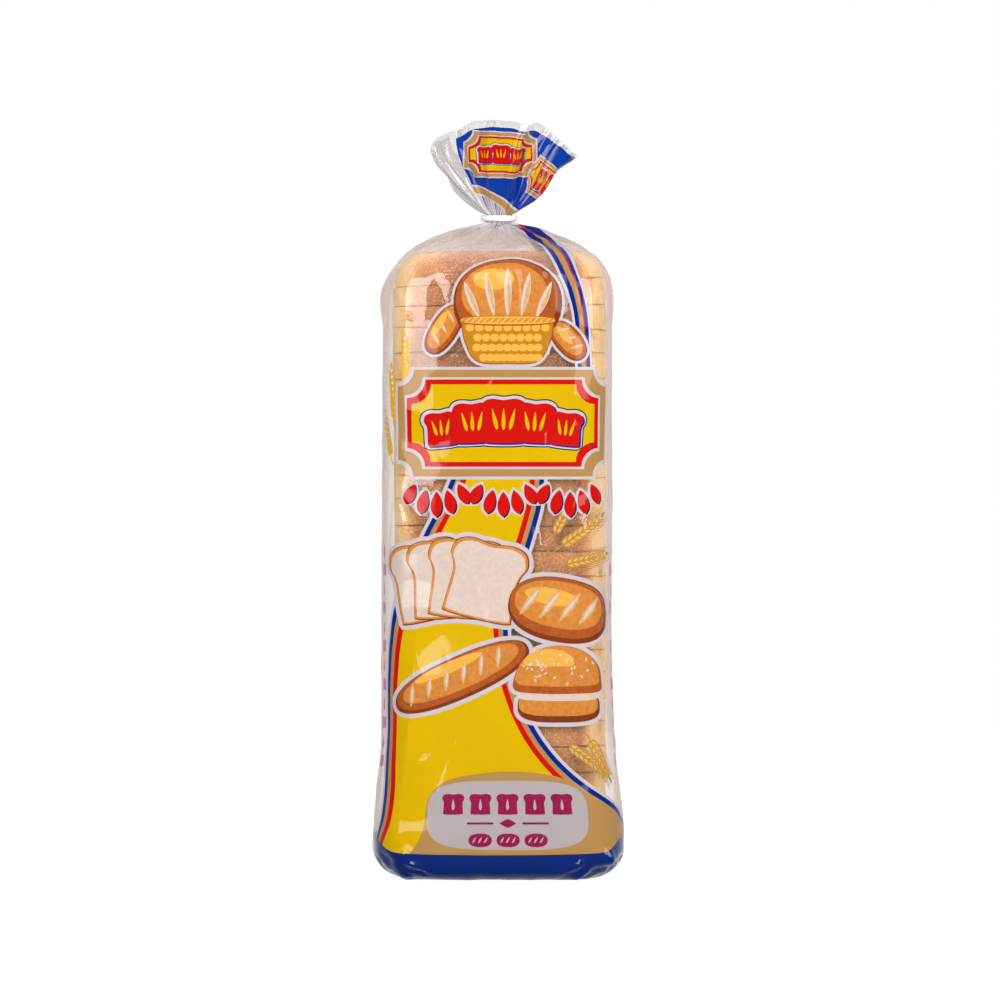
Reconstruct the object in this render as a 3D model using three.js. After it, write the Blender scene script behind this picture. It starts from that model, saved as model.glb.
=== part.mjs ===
// A sliced loaf in its film bread bag, standing on its heel: the filled bag, gathered into a neck
// under an open ruffled tail, and the white band round the neck. Millimetres, +Z up, front at -Y.
import * as THREE from "three";

// Filled bag: half sizes of the rounded-square body, and the heights of its stretches
const BODY_HALF_WIDTH = 53;
const BODY_HALF_DEPTH = 51.5;
const HEEL_BULGE = 4.8; // how far the film stands out further just above the floor
const HEEL_BULGE_FADE = 38;
const HEEL_REACH = 15.3; // horizontal reach of the rounded bottom edge
const HEEL_RISE = 14;
const SHOULDER_START = 256;
const SHOULDER_CORNER = 283;
const SHOULDER_KNEE_INSET = 8; // the slope to the neck starts this far inside the body's side
const SHOULDER_KNEE = 287;
const SQUARENESS = 7; // superellipse exponent of the body; 2 is an ellipse

// Neck, band and tail
const NECK_RADIUS = 6.1;
const NECK_BOTTOM = 297.6;
const NECK_TOP = 301.6;
const TAIL_LENGTH = 42.1;
const TAIL_HALF_WIDTH = 32.5;
const TAIL_HALF_DEPTH = 15;
const TAIL_SIDE_DROP = 0.3; // the mouth's two sides end lower than its middle by this share
const TAIL_FLARE = 0.62; // power of the flare: under 1 it opens fast and then steepens
const TAIL_WALL = 1.4; // the gathered film of the open tail, as one wall
const HOLLOW_FLOOR = 0.4; // the tail's hollow goes down to this share of its length
const BAND_HEIGHT = 2.8;
const BAND_THICKNESS = 1.3;
const BAND_GAP = 0.4;
const BAND_EDGE_STEPS = 6; // facets of each rounded edge
const BAND_FACETS = 48;

// Lean: the middle of the bag swings a little to -X and the tail a little to +X
const BODY_LEAN = 0.9;
const TAIL_LEAN = 1.2;

// Relief of the film, as heights along its normal
const SLACK_RIPPLE = 0.45;
const SHOULDER_PLEAT = 3.4;
const NECK_PLEAT = 0.55;
const TAIL_WAVE = 2.6;
const TAIL_RUFFLE = 1.6;

// Pleats gathered by the band: each set goes round the neck count times, starting at phase
const GATHERED_PLEATS = [
  { count: 7, share: 0.5, phase: 0.35 },
  { count: 11, share: 0.3, phase: 1.1 },
  { count: 17, share: 0.2, phase: 2.4 },
];

// The mouth's open waves, and the slack ripples that cross each other on the body
const MOUTH_WAVES = [
  { count: 5, share: 1, phase: -0.8 },
  { count: 3, share: 0.55, phase: 0.5 },
];
const RISING_RIPPLE = { count: 9, climb: 2.2 };
const FALLING_RIPPLE = { count: 4, climb: -3.1 };

// Mesh density
const COLUMNS = 92;
const BASE_ROWS = 3;
const HEEL_ROWS = 5;
const BODY_ROWS = 11;
const SHOULDER_ROWS = 14;
const NECK_ROWS = 3;
const TAIL_ROWS = 9;
const HOLLOW_ROWS = 6;

// The film is one surface over (theta, m). Theta goes round from the front at -90 degrees, and m
// counts the stretches along it: base, rounded heel, body, shoulder, neck and tail.
const HEEL = 1;
const BODY = 2;
const SHOULDER = 3;
const NECK = 4;
const TAIL = 5;
const MOUTH = 6;

const mix = (a, b, t) => a + (b - a) * t;

function cubic(p0, p1, p2, p3, t) {
  const s = 1 - t;
  return s * s * s * p0 + 3 * s * s * t * p1 + 3 * s * t * t * p2 + t * t * t * p3;
}

function shoulderHalf(bodyHalf, t) {
  return cubic(bodyHalf, bodyHalf, bodyHalf - SHOULDER_KNEE_INSET, NECK_RADIUS, t);
}

// Half sizes, height and squareness of the outline at m. sideDrop is how much lower its sides are.
function station(m) {
  const stretch = Math.min(Math.floor(m), TAIL);
  const t = m - stretch;
  const heelWidth = BODY_HALF_WIDTH + HEEL_BULGE;
  const heelDepth = BODY_HALF_DEPTH + HEEL_BULGE;
  const flat = { width: heelWidth - HEEL_REACH, depth: heelDepth - HEEL_REACH };
  const level = { squareness: SQUARENESS, sideDrop: 0, lean: 0 };
  if (stretch < HEEL) return { ...level, width: flat.width * t, depth: flat.depth * t, z: 0 };
  if (stretch === HEEL) {
    const turn = (t * Math.PI) / 2;
    const reach = HEEL_REACH * Math.sin(turn);
    const z = HEEL_RISE * (1 - Math.cos(turn));
    return { ...level, width: flat.width + reach, depth: flat.depth + reach, z };
  }
  if (stretch === BODY) {
    const z = mix(HEEL_RISE, SHOULDER_START, t);
    const bulge = HEEL_BULGE * Math.exp(-(((z - HEEL_RISE) / HEEL_BULGE_FADE) ** 2));
    return { ...level, width: BODY_HALF_WIDTH + bulge, depth: BODY_HALF_DEPTH + bulge, z };
  }
  if (stretch === SHOULDER) {
    return {
      ...level,
      width: shoulderHalf(BODY_HALF_WIDTH, t),
      depth: shoulderHalf(BODY_HALF_DEPTH, t),
      z: cubic(SHOULDER_START, SHOULDER_CORNER, SHOULDER_KNEE, NECK_BOTTOM, t),
      squareness: mix(SQUARENESS, 2, t * t * (3 - 2 * t)),
    };
  }
  if (stretch === NECK) {
    const z = mix(NECK_BOTTOM, NECK_TOP, t);
    return { width: NECK_RADIUS, depth: NECK_RADIUS, z, squareness: 2, sideDrop: 0, lean: 0 };
  }
  const flare = t ** TAIL_FLARE;
  return {
    width: mix(NECK_RADIUS, TAIL_HALF_WIDTH, flare),
    depth: mix(NECK_RADIUS, TAIL_HALF_DEPTH, flare),
    z: NECK_TOP,
    squareness: 2,
    rise: TAIL_LENGTH * t,
    sideDrop: TAIL_SIDE_DROP,
    lean: TAIL_LEAN * t,
  };
}

// A point of the superellipse of half sizes 1, in the direction theta
function unitOutline(theta, squareness) {
  const c = Math.cos(theta);
  const s = Math.sin(theta);
  const reach = (Math.abs(c) ** squareness + Math.abs(s) ** squareness) ** (-1 / squareness);
  return new THREE.Vector2(c * reach, s * reach);
}

function smoothPoint(theta, m) {
  const at = station(m);
  const unit = unitOutline(theta, at.squareness);
  const rise = (at.rise ?? 0) * (1 - at.sideDrop * unit.x * unit.x);
  const lean = at.lean - BODY_LEAN * Math.sin((Math.PI * Math.min(at.z, NECK_TOP)) / NECK_TOP);
  return new THREE.Vector3(at.width * unit.x + lean, at.depth * unit.y, at.z + rise);
}

// Sharp-crested pleats, count of them round the bag: 1 on each crest and -1 in the valleys
const pleats = (theta, count, phase) => 1 - 2 * Math.abs(Math.sin((count * (theta - phase)) / 2));

function gather(theta) {
  return GATHERED_PLEATS.reduce((sum, p) => sum + p.share * pleats(theta, p.count, p.phase), 0);
}

function mouthWave(theta) {
  return MOUTH_WAVES.reduce((sum, w) => sum + w.share * Math.cos(w.count * theta - w.phase), 0);
}

function slackRipple(theta, m) {
  const rising = Math.sin(RISING_RIPPLE.count * theta + RISING_RIPPLE.climb * m);
  const falling = Math.cos(FALLING_RIPPLE.count * theta + FALLING_RIPPLE.climb * m);
  const slack = Math.sin(((m - HEEL) / (SHOULDER - HEEL)) * Math.PI);
  return SLACK_RIPPLE * slack * rising * falling;
}

// Height of the film's relief above the smooth surface
function relief(theta, m) {
  if (m <= HEEL) return 0;
  if (m < SHOULDER) return slackRipple(theta, m);
  const pleat = gather(theta);
  if (m < NECK) {
    const t = m - SHOULDER;
    return (SHOULDER_PLEAT * t ** 1.5 * (1 - t) ** 0.5 + NECK_PLEAT * t * t) * pleat;
  }
  if (m < TAIL) return NECK_PLEAT * pleat;
  const t = m - TAIL;
  const ruffle = NECK_PLEAT * (1 - t) + TAIL_RUFFLE * t * (1.2 - t);
  return ruffle * pleat + TAIL_WAVE * t ** 1.4 * mouthWave(theta);
}

function normalAt(theta, m) {
  const step = 1e-3;
  const before = Math.max(m - step, step);
  const after = Math.min(m + step, MOUTH);
  const round = smoothPoint(theta + step, m).sub(smoothPoint(theta - step, m));
  const along = smoothPoint(theta, after).sub(smoothPoint(theta, before));
  return round.cross(along).normalize();
}

// A point of the film, or of the inner face of the open tail when inset is its wall
function filmPoint(theta, m, inset = 0) {
  const point = smoothPoint(theta, m);
  return point.addScaledVector(normalAt(theta, m), relief(theta, m) - inset);
}

// Directions that divide the body's outline into equal lengths
function columnAngles(count) {
  const samples = 3600;
  const lengths = [0];
  let last = unitOutline(-Math.PI, SQUARENESS);
  for (let i = 1; i <= samples; i++) {
    const next = unitOutline(-Math.PI + (2 * Math.PI * i) / samples, SQUARENESS);
    lengths.push(lengths[i - 1] + next.distanceTo(last));
    last = next;
  }
  const angles = [];
  let i = 0;
  for (let column = 0; column < count; column++) {
    const wanted = (lengths[samples] * column) / count;
    while (lengths[i + 1] < wanted) i++;
    const share = (wanted - lengths[i]) / (lengths[i + 1] - lengths[i]);
    angles.push(-Math.PI + (2 * Math.PI * (i + share)) / samples);
  }
  return angles;
}

// Places along the film, from the base's middle to the mouth
function outerRows() {
  const rows = [];
  const add = (start, count) => {
    for (let i = 1; i <= count; i++) rows.push(start + i / count);
  };
  add(0, BASE_ROWS);
  add(HEEL, HEEL_ROWS);
  add(BODY, BODY_ROWS);
  add(SHOULDER, SHOULDER_ROWS);
  add(NECK, NECK_ROWS);
  add(TAIL, TAIL_ROWS);
  return rows;
}

function hollowRows() {
  const rows = [];
  for (let i = 0; i <= HOLLOW_ROWS; i++) rows.push(TAIL + mix(1, HOLLOW_FLOOR, i / HOLLOW_ROWS));
  return rows;
}

// One closed skin through rows of points that all have COLUMNS points, with a pole at each end
function closedSkin(firstPole, rows, lastPole) {
  const positions = [firstPole, ...rows.flat(), lastPole].flatMap((p) => p.toArray());
  const index = [];
  const at = (row, column) => 1 + row * COLUMNS + (column % COLUMNS);
  const end = 1 + rows.length * COLUMNS;
  for (let c = 0; c < COLUMNS; c++) {
    index.push(0, at(0, c + 1), at(0, c));
    for (let r = 0; r + 1 < rows.length; r++) {
      index.push(at(r, c), at(r, c + 1), at(r + 1, c + 1));
      index.push(at(r, c), at(r + 1, c + 1), at(r + 1, c));
    }
    index.push(at(rows.length - 1, c), at(rows.length - 1, c + 1), end);
  }
  const geometry = new THREE.BufferGeometry();
  geometry.setAttribute("position", new THREE.Float32BufferAttribute(positions, 3));
  geometry.setIndex(index);
  geometry.computeVertexNormals();
  return geometry;
}

function middleOf(points) {
  const sum = points.reduce((total, p) => total.add(p), new THREE.Vector3());
  return sum.divideScalar(points.length);
}

function bagGeometry() {
  const angles = columnAngles(COLUMNS);
  const outside = outerRows().map((m) => angles.map((theta) => filmPoint(theta, m)));
  const inside = hollowRows().map((m) => angles.map((theta) => filmPoint(theta, m, TAIL_WALL)));
  return closedSkin(smoothPoint(0, 0), [...outside, ...inside], middleOf(inside.at(-1)));
}

// The band: a flat strap with rounded edges, closed on itself
function bandGeometry() {
  const inner = NECK_RADIUS + NECK_PLEAT + BAND_GAP;
  const middle = inner + BAND_THICKNESS / 2;
  const edge = BAND_THICKNESS / 2;
  const straight = BAND_HEIGHT / 2 - edge;
  const profile = [];
  for (const side of [1, -1]) {
    for (let i = 0; i <= BAND_EDGE_STEPS; i++) {
      const turn = (side > 0 ? 0 : Math.PI) + (Math.PI * i) / BAND_EDGE_STEPS;
      const radius = middle + edge * Math.cos(turn);
      profile.push(new THREE.Vector2(radius, side * straight + edge * Math.sin(turn)));
    }
  }
  profile.push(profile[0].clone());
  return new THREE.LatheGeometry(profile, BAND_FACETS);
}

const film = new THREE.MeshStandardMaterial({ color: 0xd8c9ba, roughness: 0.25, metalness: 0 });
const plastic = new THREE.MeshStandardMaterial({ color: 0xebeaef, roughness: 0.4, metalness: 0 });

const bag = new THREE.Mesh(bagGeometry(), film);
bag.name = "bag";

const band = new THREE.Mesh(bandGeometry(), plastic);
band.name = "band";
band.rotation.x = Math.PI / 2;
band.position.z = (NECK_BOTTOM + NECK_TOP) / 2;

const loafInBag = new THREE.Group();
loafInBag.add(bag, band);

export default loafInBag;
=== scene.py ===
# A sliced sandwich loaf standing on its heel in a printed film bag, tied by a white band into a neck
# under an open ruffled tail. Lengths are millimetres until a mesh is made, and front is at -Y.
import math

import bpy
import numpy as np
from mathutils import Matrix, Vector
from mathutils.geometry import delaunay_2d_cdt


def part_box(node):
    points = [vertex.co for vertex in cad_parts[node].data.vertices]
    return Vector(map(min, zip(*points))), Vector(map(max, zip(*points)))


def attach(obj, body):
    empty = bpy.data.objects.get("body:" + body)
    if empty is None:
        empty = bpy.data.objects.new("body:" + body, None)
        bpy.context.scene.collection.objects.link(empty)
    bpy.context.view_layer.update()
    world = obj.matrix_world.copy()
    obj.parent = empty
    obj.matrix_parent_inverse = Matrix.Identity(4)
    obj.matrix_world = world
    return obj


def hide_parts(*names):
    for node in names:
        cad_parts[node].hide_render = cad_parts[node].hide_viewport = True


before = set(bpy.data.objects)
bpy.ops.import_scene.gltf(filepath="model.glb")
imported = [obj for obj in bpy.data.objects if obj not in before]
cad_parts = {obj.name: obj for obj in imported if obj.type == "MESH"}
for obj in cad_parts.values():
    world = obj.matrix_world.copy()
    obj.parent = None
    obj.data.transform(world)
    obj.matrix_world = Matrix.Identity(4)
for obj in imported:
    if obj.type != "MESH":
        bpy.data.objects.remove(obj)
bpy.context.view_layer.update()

MM = 0.001
SEED = 7

# Form of the filled bag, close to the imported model's
BODY_HALF_WIDTH = 52.2
BODY_HALF_DEPTH = 51.5
HEEL_BULGE = 4.9
FRONT_BULGE = 1.0  # the foot's bulge towards front and back
HEEL_BULGE_FADE = 40
HEEL_REACH = 17.5
HEEL_RISE = 14
SHOULDER_START = 256
SHOULDER_CORNER = 283
SHOULDER_KNEE_INSET = 8
SHOULDER_KNEE = 287
SQUARENESS = 5.8
NECK_RADIUS = 6.1
NECK_BOTTOM = 297.6
NECK_TOP = 301.6
TAIL_LENGTH = 42.1
TAIL_HALF_WIDTH = 32.5
TAIL_HALF_DEPTH = 15
TAIL_SIDE_DROP = 0.31
TAIL_DROP_POWER = 2.8
TAIL_FLARE = 0.72
BODY_LEAN = 1.1
TAIL_LEAN = 0.4
TAIL_SWAY = 1.5  # how far the middle of the tail stands to the left
SHOULDER_PLEAT = 3.4
NECK_PLEAT = 0.55
TAIL_WAVE = 2.6
TAIL_RUFFLE = 1.6
GATHERED_PLEATS = ((7, 0.5, 0.35), (11, 0.3, 1.1), (17, 0.2, 2.4))  # count, share, phase
MOUTH_WAVES = ((5, 1, -0.8), (3, 0.55, 0.5))
MOUTH_EDGE = ((7, 0.016, 1.2), (12, 0.010, 0.3), (19, 0.006, 2.0))  # count, share of the tail's length, phase
FOOT_TIGHTNESS = 0.42  # below 1 the front and back stay upright further down

# Stretches of the film along m, from the base's middle to the mouth
HEEL, BODY, SHOULDER, NECK, TAIL, MOUTH = 1, 2, 3, 4, 5, 6

# Spacing of the film's mesh
FRONT_STEP = 1.4
BACK_STEP = 2.8
OUTLINE_STEP = 1.6  # longest edge of a printed outline, so that the mesh bends with the film there too
ROWS = {0: 5, HEEL: 15, BODY: 124, SHOULDER: 66, NECK: 5, TAIL: 44}
POINTS_AT_ONCE = 20000
OUTLINE_ROOM = 0.4  # grid points nearer than this to an outline's points are left out
SEAM_SNAP = 1e-3  # points this near to either side of the seam lie on it
FLOOR_CLEARANCE = 0.15
BASE_RIM = 6  # how far from the base's middle the film's normal points straight down

# Film whitened where it is bunched, folded or creased
BUNCHED_BELOW = 14  # how far the whitened film reaches from the band
BUNCHED_ABOVE = 12
SHOULDER_FOLDS = 0.65  # share of the tail's folds that the shoulder has
CREASE_REACH = 1.2

# Creases in the film
CORNERS = (-0.375, -0.125, 0.125, 0.375)  # the bag's upright corners, as shares of the way round
BODY_CREASES = 70
CORNER_CREASES = 9
FOOT_CRUMPLES = 18
SHOULDER_PLEATS = 52
SHOULDER_CREASES = 16
TAIL_FOLDS = 44

# Loaf
SLICES = 25
SLICE_PITCH = 11.1
LOAF_BOTTOM = 4.6
LOAF_HALF_WIDTH = 47.8
LOAF_HALF_DEPTH = 47.6
LOAF_OFFSET = 0.3
LOAF_SQUARENESS = 4.0
LOAF_CLEARANCE = 1.0  # how far the film may dip towards the loaf


def mix(a, b, t):
    return a + (b - a) * t


def unit(vectors):
    return vectors / np.maximum(np.linalg.norm(vectors, axis=-1, keepdims=True), 1e-12)


def smoothstep(low, high, x):
    t = np.clip((x - low) / (high - low), 0, 1)
    return t * t * (3 - 2 * t)


def cubic(p0, p1, p2, p3, t):
    s = 1 - t
    return s * s * s * p0 + 3 * s * s * t * p1 + 3 * s * t * t * p2 + t * t * t * p3


# The film as a smooth surface over theta, which goes round from the front at -90 degrees, and m


def shoulder_half(body_half, t):
    return cubic(body_half, body_half, body_half - SHOULDER_KNEE_INSET, NECK_RADIUS, t)


def tail_lean(t):
    return TAIL_LEAN * t - TAIL_SWAY * np.sin(math.pi * t * t)


def station(m):
    """Half width, half depth, height, squareness, rise and lean of the outline at m."""
    stretch = np.clip(np.floor(m), 0, TAIL)
    t = m - stretch
    heel_width = BODY_HALF_WIDTH + HEEL_BULGE
    heel_depth = BODY_HALF_DEPTH + FRONT_BULGE
    flat_width = heel_width - HEEL_REACH
    flat_depth = heel_depth - HEEL_REACH
    reach = HEEL_REACH * np.sin(t * math.pi / 2)
    body_z = mix(HEEL_RISE, SHOULDER_START, t)
    bulge = np.exp(-(((body_z - HEEL_RISE) / HEEL_BULGE_FADE) ** 2))
    flare = t**TAIL_FLARE
    on = [stretch == k for k in range(TAIL + 1)]
    width = np.select(on, [
        flat_width * t,
        flat_width + reach,
        BODY_HALF_WIDTH + HEEL_BULGE * bulge,
        shoulder_half(BODY_HALF_WIDTH, t),
        NECK_RADIUS,
        mix(NECK_RADIUS, TAIL_HALF_WIDTH, flare),
    ])
    depth = np.select(on, [
        flat_depth * t,
        flat_depth + HEEL_REACH * np.sin(np.clip(t, 0, 1) * math.pi / 2) ** FOOT_TIGHTNESS,
        BODY_HALF_DEPTH + FRONT_BULGE * bulge,
        shoulder_half(BODY_HALF_DEPTH, t),
        NECK_RADIUS,
        mix(NECK_RADIUS, TAIL_HALF_DEPTH, flare),
    ])
    z = np.select(on, [
        0,
        HEEL_RISE * (1 - np.cos(t * math.pi / 2)),
        body_z,
        cubic(SHOULDER_START, SHOULDER_CORNER, SHOULDER_KNEE, NECK_BOTTOM, t),
        mix(NECK_BOTTOM, NECK_TOP, t),
        NECK_TOP,
    ])
    square = np.select(on[:4], [SQUARENESS] * 3 + [mix(SQUARENESS, 2, t * t * (3 - 2 * t))], 2)
    rise = np.where(on[TAIL], TAIL_LENGTH * t, 0)
    lean = np.where(on[TAIL], tail_lean(t), 0)
    return width, depth, z, square, rise, lean


def unit_outline(theta, squareness):
    """Point of the superellipse of half sizes 1 in the direction theta."""
    c, s = np.cos(theta), np.sin(theta)
    reach = (np.abs(c) ** squareness + np.abs(s) ** squareness) ** (-1 / squareness)
    return c * reach, s * reach


def smooth_point(theta, m):
    width, depth, z, square, rise, lean = station(m)
    x, y = unit_outline(theta, square)
    sway = BODY_LEAN * np.sin(math.pi * np.minimum(z, NECK_TOP) / NECK_TOP)
    edge = sum(share * np.sin(count * theta + phase) for count, share, phase in MOUTH_EDGE)
    height = z + rise * (1 - TAIL_SIDE_DROP * np.abs(x) ** TAIL_DROP_POWER + edge * np.clip(m - TAIL, 0, 1))
    return np.stack([width * x + lean - sway, depth * y, height], axis=-1)


def smooth_normal(theta, m):
    step = 1e-3
    around = smooth_point(theta + step, m) - smooth_point(theta - step, m)
    low, high = np.maximum(m - step, step), np.minimum(m + step, MOUTH)
    along = smooth_point(theta, high) - smooth_point(theta, low)
    return unit(np.cross(around, along))


# The same film laid flat. U runs round the bag from the front's middle towards +X, and v runs up it,
# equal to the height on the straight body.


def arc_lengths(points):
    steps = np.linalg.norm(np.diff(points, axis=0), axis=1)
    return np.concatenate([[0], np.cumsum(steps)])


def lay_flat():
    """Tables that turn u into theta and v into m, and the film's length round the body."""
    theta = np.linspace(-math.pi / 2, 3 * math.pi / 2, 7201)
    x, y = unit_outline(theta, SQUARENESS)
    outline = np.stack([BODY_HALF_WIDTH * x, BODY_HALF_DEPTH * y], axis=1)
    around = arc_lengths(outline)
    m = np.linspace(0, MOUTH, 6001)
    up = arc_lengths(smooth_point(np.full_like(m, -math.pi / 2), m)[:, 1:])
    up += HEEL_RISE - np.interp(BODY, m, up)
    return around, theta, up, m


FLAT_U, FLAT_THETA, FLAT_V, FLAT_M = lay_flat()
FILM_ROUND = FLAT_U[-1]
SEAM = CORNERS[0] * FILM_ROUND  # the flat film is cut along the left back corner
FILM_FOOT = FLAT_V[0]
FILM_TOP = FLAT_V[-1]


def theta_at(u):
    return np.interp(np.mod(u, FILM_ROUND), FLAT_U, FLAT_THETA)


def m_at(v):
    return np.interp(v, FLAT_V, FLAT_M)


def v_at(m):
    return float(np.interp(m, FLAT_M, FLAT_V))


def seen_at(points):
    """Flat film points that the front view shows at these (x, z) on the tail."""
    x, z = np.asarray(points, float).T
    t = np.full_like(x, 0.5)
    for _ in range(40):
        width = mix(NECK_RADIUS, TAIL_HALF_WIDTH, t**TAIL_FLARE)
        across = np.clip((x - tail_lean(t)) / width, -0.98, 0.98)
        drop = TAIL_SIDE_DROP * np.abs(across) ** TAIL_DROP_POWER
        t = np.clip((z - NECK_TOP) / (TAIL_LENGTH * (1 - drop)), 0.01, 1)
    theta = np.mod(np.arcsin(across), 2 * math.pi) - math.pi / 2
    u = np.interp(theta, FLAT_THETA, FLAT_U)
    u = np.where(u > FILM_ROUND / 2, u - FILM_ROUND, u)
    return np.stack([u, np.interp(TAIL + t, FLAT_M, FLAT_V)], axis=1)


# Relief of the film, along its normal. The finer part is a map over (u, v) that wraps round in u.

MAP_STEP = 0.5


def pleats(theta, count, phase):
    return 1 - 2 * np.abs(np.sin(count * (theta - phase) / 2))


def gather(theta):
    return sum(share * pleats(theta, count, phase) for count, share, phase in GATHERED_PLEATS)


def mouth_wave(theta):
    return sum(share * np.cos(count * theta - phase) for count, share, phase in MOUTH_WAVES)


def gathered_relief(theta, m):
    """The pleats that the band gathers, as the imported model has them."""
    pleat = gather(theta)
    t = np.clip(m - SHOULDER, 0, 1)
    shoulder = SHOULDER_PLEAT * t**1.5 * np.sqrt(1 - t) + NECK_PLEAT * t * t
    s = np.clip(m - TAIL, 0, 1)
    ruffle = NECK_PLEAT * (1 - s) + TAIL_RUFFLE * s**0.6 * (1.2 - s)
    return np.select(
        [m < SHOULDER, m < NECK, m < TAIL],
        [0, shoulder * pleat, NECK_PLEAT * pleat],
        ruffle * pleat + TAIL_WAVE * s**1.4 * mouth_wave(theta),
    )


class ReliefMap:
    """Heights over the flat film, every MAP_STEP, with u wrapping round."""

    def __init__(self):
        self.columns = int(round(FILM_ROUND / MAP_STEP))
        self.step_u = FILM_ROUND / self.columns
        self.rows = int((FILM_TOP - FILM_FOOT) / MAP_STEP) + 3
        self.heights = np.zeros((self.rows, self.columns))
        self.v = FILM_FOOT + MAP_STEP * np.arange(self.rows)

    def window(self, u_low, u_high, v_low, v_high):
        """Row slice, wrapped column numbers, and the u and v of the map's points in a rectangle."""
        first, last = int(math.floor(u_low / self.step_u)), int(math.ceil(u_high / self.step_u))
        low = max(0, int((v_low - FILM_FOOT) / MAP_STEP))
        high = min(self.rows, int((v_high - FILM_FOOT) / MAP_STEP) + 2)
        columns = np.arange(first, last + 1)
        u, v = np.meshgrid(columns * self.step_u, self.v[low:high])
        return slice(low, high), columns % self.columns, u, v

    def facets(self, spacing_u, spacing_v, height, v_low, v_high, rng):
        """Flat facets between sharp creases: heights at scattered points, joined by triangles."""
        count = int(round(FILM_ROUND / spacing_u))
        spread = []
        for row, v in enumerate(np.arange(v_low - spacing_v, v_high + 2 * spacing_v, spacing_v)):
            for column in range(count):
                u = (column + 0.5 * (row % 2) + rng.uniform(-0.38, 0.38)) * FILM_ROUND / count
                spread.append((u, v + rng.uniform(-0.4, 0.4) * spacing_v, rng.normal() * height))
        points = np.array(spread)
        wrapped = np.concatenate([points + (shift * FILM_ROUND, 0, 0) for shift in (-1, 0, 1)])
        beyond = 3 * spacing_u
        wrapped = wrapped[(wrapped[:, 0] > -beyond) & (wrapped[:, 0] < FILM_ROUND + beyond)]
        made = delaunay_2d_cdt([Vector(p[:2]) for p in wrapped], [], [], 0, 1e-6)
        corners, triangles, origins = made[0], made[2], made[3]
        levels = [wrapped[source[0], 2] for source in origins]
        layer = np.zeros_like(self.heights)
        for triangle in triangles:
            self.fill_facet(layer, [corners[k] for k in triangle], [levels[k] for k in triangle])
        fade = smoothstep(v_low, v_low + 8, self.v) * (1 - smoothstep(v_high - 8, v_high, self.v))
        self.heights += layer * fade[:, None]

    def fill_facet(self, layer, corners, levels):
        a, b, c = [np.array(p) for p in corners]
        low, high = np.minimum(np.minimum(a, b), c), np.maximum(np.maximum(a, b), c)
        rows, columns, u, v = self.window(low[0], high[0], low[1], high[1])
        if rows.start >= rows.stop:
            return
        det = (b[0] - a[0]) * (c[1] - a[1]) - (c[0] - a[0]) * (b[1] - a[1])
        wb = ((u - a[0]) * (c[1] - a[1]) - (c[0] - a[0]) * (v - a[1])) / det
        wc = ((b[0] - a[0]) * (v - a[1]) - (u - a[0]) * (b[1] - a[1])) / det
        inside = (wb >= -1e-9) & (wc >= -1e-9) & (wb + wc <= 1 + 1e-9)
        values = levels[0] + wb * (levels[1] - levels[0]) + wc * (levels[2] - levels[0])
        at = np.nonzero(inside)
        layer[rows.start + at[0], columns[at[1]]] = values[at]

    def crease(self, start, end, width, height, bow=0.0):
        """A straight or slightly bowed ridge from start to end that fades out at both ends."""
        start, end = np.array(start, float), np.array(end, float)
        low, high = np.minimum(start, end) - width - abs(bow), np.maximum(start, end) + width + abs(bow)
        rows, columns, u, v = self.window(low[0], high[0], low[1], high[1])
        if rows.start >= rows.stop:
            return
        length = np.linalg.norm(end - start)
        along = (end - start) / length
        s = ((u - start[0]) * along[0] + (v - start[1]) * along[1]) / length
        d = (v - start[1]) * along[0] - (u - start[0]) * along[1] - 4 * bow * s * (1 - s)
        ridge = np.clip(1 - np.abs(d) / width, 0, 1) * np.clip(4 * s * (1 - s), 0, 1) ** 0.7
        self.heights[np.ix_(np.arange(rows.start, rows.start + u.shape[0]), columns)] += height * ridge

    def soften(self, passes):
        """Rounds the creases a little."""
        for _ in range(passes):
            h = self.heights
            across = (np.roll(h, 1, axis=1) + 2 * h + np.roll(h, -1, axis=1)) / 4
            self.heights = (np.roll(across, 1, axis=0) + 2 * across + np.roll(across, -1, axis=0)) / 4

    def at(self, u, v):
        x = np.mod(u, FILM_ROUND) / self.step_u
        y = np.clip((v - FILM_FOOT) / MAP_STEP, 0, self.rows - 1.001)
        i, j = np.floor(x).astype(int), np.floor(y).astype(int)
        fx, fy = x - i, y - j
        i, i2 = i % self.columns, (i + 1) % self.columns
        h = self.heights
        return mix(mix(h[j, i], h[j, i2], fx), mix(h[j + 1, i], h[j + 1, i2], fx), fy)


def wrinkled_film():
    """The film's own relief: taut facets on the body, pleats on the shoulder and folds in the tail."""
    rng = np.random.default_rng(SEED)
    relief = ReliefMap()
    neck = v_at(NECK)
    layers = (  # spacing along u and v, height, and from which v to which
        (15, 32, 0.38, 18, neck - 12),
        (8, 13, 0.13, -4, neck - 6),
        (7, 7, 0.14, -14, 24),
        (13, 15, 0.5, SHOULDER_START - 12, neck - 4),
        (13, 15, 1.0, neck + 2, FILM_TOP + 8),
    )
    for layer in layers:
        relief.facets(*layer, rng)
    body_creases(relief, rng)
    shoulder_pleats(relief, neck, rng)
    foot_crumples(relief, rng)
    relief.soften(1)
    tail_folds(relief, rng)
    relief.soften(1)
    return relief


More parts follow.
